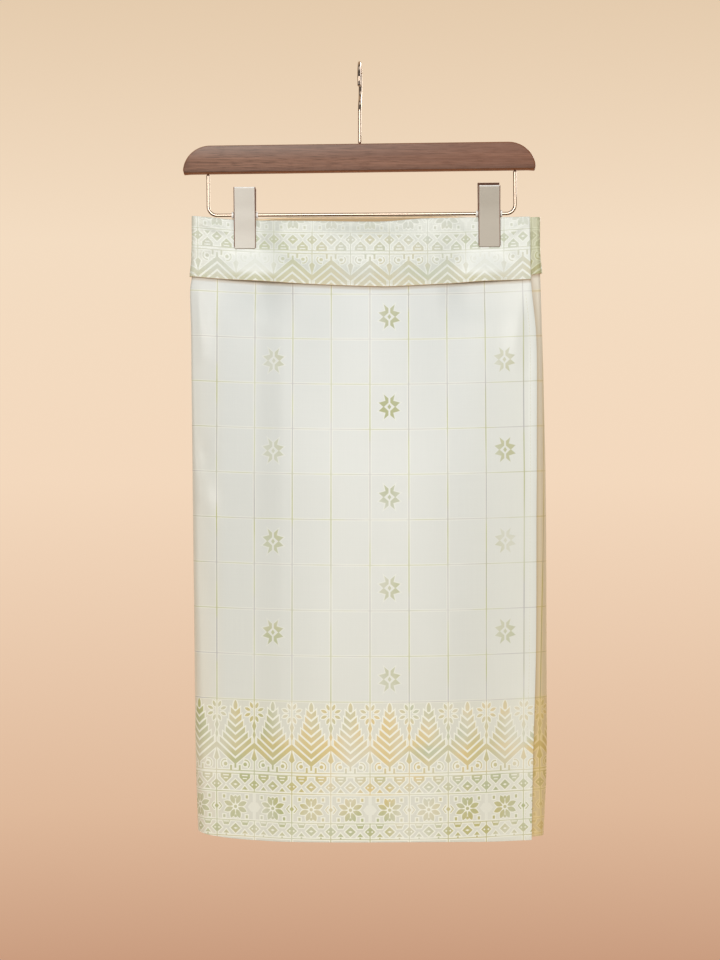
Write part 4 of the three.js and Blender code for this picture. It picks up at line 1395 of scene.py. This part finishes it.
def earRings(waistLine, facing, x):  # squared off where the ear meets the plate
    ear = hanger["ear"]
    outer, hole, soft = ear["outer"], ear["hole"], ear["soft"]
    rings = []
    for t in np.linspace(0, 2 * np.pi, 40, endpoint=False):
        c, s = math.cos(t), math.sin(t)
        reach = outer
        if c > 0:
            reach = min(outer / abs(s) if s else math.inf, (waistLine + 0.1) / c)
        section = [(hole, -0.8), (hole + soft, -1), (reach - soft, -1), (reach, -0.7),
                   (reach, 0.7), (reach - soft, 1), (hole + soft, 1), (hole, 0.8)]
        rings.append([(x + w * ear["thick"] / 2, facing * r * c, r * s) for r, w in section])
    return np.array(rings)


def makePlate(name, node, facing, jaw, earPlace, place, rise):
    plate, waistLine = plateRings(jaw, facing, rise)
    parts = [(plate, False)]
    parts += [(earRings(waistLine, facing, side * earPlace), True) for side in (-1, 1)]
    verts, faces = [], []
    for points, loops in parts:
        faces += loftFaces(*points.shape[:2], loops, len(verts))
        verts += (placed(points, place) * mm).tolist()
    mesh = bpy.data.meshes.new(name)
    mesh.from_pydata(verts, [], faces)
    bm = bmesh.new()
    bm.from_mesh(mesh)
    bmesh.ops.recalc_face_normals(bm, faces=bm.faces)
    bm.to_mesh(mesh)
    bm.free()
    finishedMesh(name, node, mesh, satinNickel)
    mesh.materials.append(nickelPaintedShade)
    mesh.materials.append(paleNickelAndPaintedHighlight)
    side = hanger["clip"]["wide"] / 2
    rim = side - hanger["clip"]["sheet"] / 2 - 0.5
    for face in mesh.polygons:  # painted shade inside the sheet, along its cut edges and on faces turned down
        aside = abs(face.center.x / mm - place.translation.x)
        inside = face.normal.y * facing < -0.6 and aside < side
        cut = rim < aside < side and face.center.y * facing > jaw * mm
        if inside or cut or face.normal.z < -0.35:
            face.material_index = 1
        # painted highlight on faces turned up near the top
        elif face.normal.z > 0.35 and face.center.z > place.translation.z + 20 * mm:
            face.material_index = 2


def makeBarrel(name, node, place):
    barrel = hanger["barrel"]
    inner, outer, collar, soft = barrel["inner"], barrel["outer"], barrel["collar"], barrel["soft"]
    half = barrel["long"] / 2
    neck = half - barrel["collarLong"]
    line = [(inner, -half + 0.2), (inner + 0.2, -half), (collar - soft, -half), (collar - 0.1, -half + 0.12),
            (collar, -half + soft), (collar, -neck - soft), (collar - 0.1, -neck - 0.1),
            (collar - soft, -neck), (outer, -neck), (outer, 0)]
    line += [(radius, -x) for radius, x in line[-2::-1]]
    angles = np.linspace(0, 2 * np.pi, 40, endpoint=False)
    rings = [[(x, radius * math.cos(t), radius * math.sin(t)) for radius, x in line] for t in angles]
    hangerPiece(name, node, np.array(rings), True, paleNickelAndPaintedHighlight, place)


wood = {
    "dark": (0.135, 0.06, 0.034), "light": (0.30, 0.148, 0.088), "pore": (0.075, 0.033, 0.018),
    "redder": (0.19, 0.063, 0.026), "paintedReflection": (0.34, 0.30, 0.275), "foot": (0.075, 0.03, 0.015),
    "rim": (0.29, 0.10, 0.034),
    "grain": [((12, 1, 560), 2.0), ((3, 1, 110), 7.3), ((60, 1, 760), 4.1)],    # stretch and seed
    "poreFrom": (0.5, 0.66), "reflectionFrom": (0.45, 1.0), "footShadeTo": (-0.24, -0.02),
    "poreShare": 0.6, "redderShare": 0.45, "reflectionShare": 0.5, "footShadeShare": 0.7, "rimShare": 0.85,
}
# painted shade: the clip nickel darkens from left to right
nickelLitAndShaded = {"left": (0.575, 0.55, 0.495), "right": (0.405, 0.37, 0.31)}


def objectPlace(tree):
    return tree.nodes.new("ShaderNodeTexCoord").outputs["Object"]


def fromLeftToRight(across):    # 0 to 1 over the middle quarter of a metre
    return spread(across, -0.125, 0.125)


def woodMaterial():
    material, tree, shader = newMaterial("walnut", {"Specular IOR Level": 0.2})
    place = objectPlace(tree)
    fine, broad, pores = (stretchedNoise(tree, place, scale, 3, (seed, 0, seed))
                          for scale, seed in wood["grain"])
    rings = spread(fine * 0.55 + broad * 0.45, 0.35, 0.65)
    across, _, up = splitPlace(tree, place)
    rightward = fromLeftToRight(across)
    bar = hanger["bar"]
    slope = 1000 * math.tan(math.radians(bar["tilt"]))
    level = (up * 1000 - across * slope - bar["z"]) * (1 / bar["high"])     # 0 at the foot, 1 on top
    colour = mixColour(tree, rings, wood["dark"], wood["light"])
    colour = mixColour(tree, spread(pores, *wood["poreFrom"]) * wood["poreShare"], colour, wood["pore"])
    colour = mixColour(tree, rightward * wood["redderShare"], colour, wood["redder"])
    # painted reflection: the upper part of the bar, mostly on its left, is mixed towards pale grey
    paintedReflection = spread(level, *wood["reflectionFrom"]) * (rightward * -0.85 + 1.0)
    colour = mixColour(tree, paintedReflection * wood["reflectionShare"], colour, wood["paintedReflection"])
    # painted shade: the bar darkens towards its foot
    colour = mixColour(tree, spread(-level, *wood["footShadeTo"]) * wood["footShadeShare"], colour, wood["foot"])
    colour = mixColour(tree, readAttribute(tree, "rim") * wood["rimShare"], colour, wood["rim"])
    tree.links.new(colour, shader.inputs["Base Color"])
    link(tree, pores * 0.2 + 0.32, shader.inputs["Roughness"])
    bumpInto(tree, shader, pores + rings * 0.5, 0.0002, 0.4)
    return material


def nickelMaterial():
    material, tree, shader = newMaterial("satinNickel", {"Metallic": 0.12, "Specular IOR Level": 0.35})
    place = objectPlace(tree)
    across, _, _ = splitPlace(tree, place)
    # painted shade: the colour darkens across the middle, so the right clip is the darker
    colour = mixColour(tree, fromLeftToRight(across), nickelLitAndShaded["left"], nickelLitAndShaded["right"])
    tree.links.new(colour, shader.inputs["Base Color"])
    brush = stretchedNoise(tree, place, (120, 120, 2600))
    link(tree, brush * 0.12 + 0.42, shader.inputs["Roughness"])
    bumpInto(tree, shader, brush, 0.00003, 0.5)
    return material


def makeClip(side, x, frontJaw, backJaw, backRise):
    clip, ear = hanger["clip"], hanger["ear"]
    along = (x - railMiddle) / math.cos(math.radians(hanger["rail"]["tilt"]))
    place = railPlace @ Matrix.Translation((along, 0, 0))
    outerEar = clip["wide"] / 2 - ear["thick"] / 2
    innerEar = outerEar - ear["thick"] - 0.6
    title = "clip" + side.capitalize()
    makePlate(title + "Front", f"clip_{side}_front_plate", -1, frontJaw, outerEar, place, 0)
    makePlate(title + "Back", f"clip_{side}_back_plate", 1, backJaw, innerEar, place, backRise)
    makeBarrel(title + "Barrel", f"clip_{side}_barrel", place)


walnut = woodMaterial()
polishedWire = plainMaterial("polishedWire", (0.42, 0.335, 0.265), 0.112, metallic=1.0)
satinNickel = nickelMaterial()
paleNickelAndPaintedHighlight = plainMaterial("paleNickelAndPaintedHighlight", (0.93, 0.92, 0.89), 0.4)
nickelPaintedShade = plainMaterial("nickelPaintedShade", (0.20, 0.105, 0.065), 0.55)
makeBar()
makeHook()
makeRail()
jaw = wrap["pinched"] + wrap["layerStep"] + hanger["clip"]["grip"]
makeClip("left", wrap["clips"][0], jaw, jaw, 0)
makeClip("right", wrap["clips"][1], jaw + 2 * wrap["layerStep"], jaw, hanger["clip"]["backRise"])
print("hanger ready")
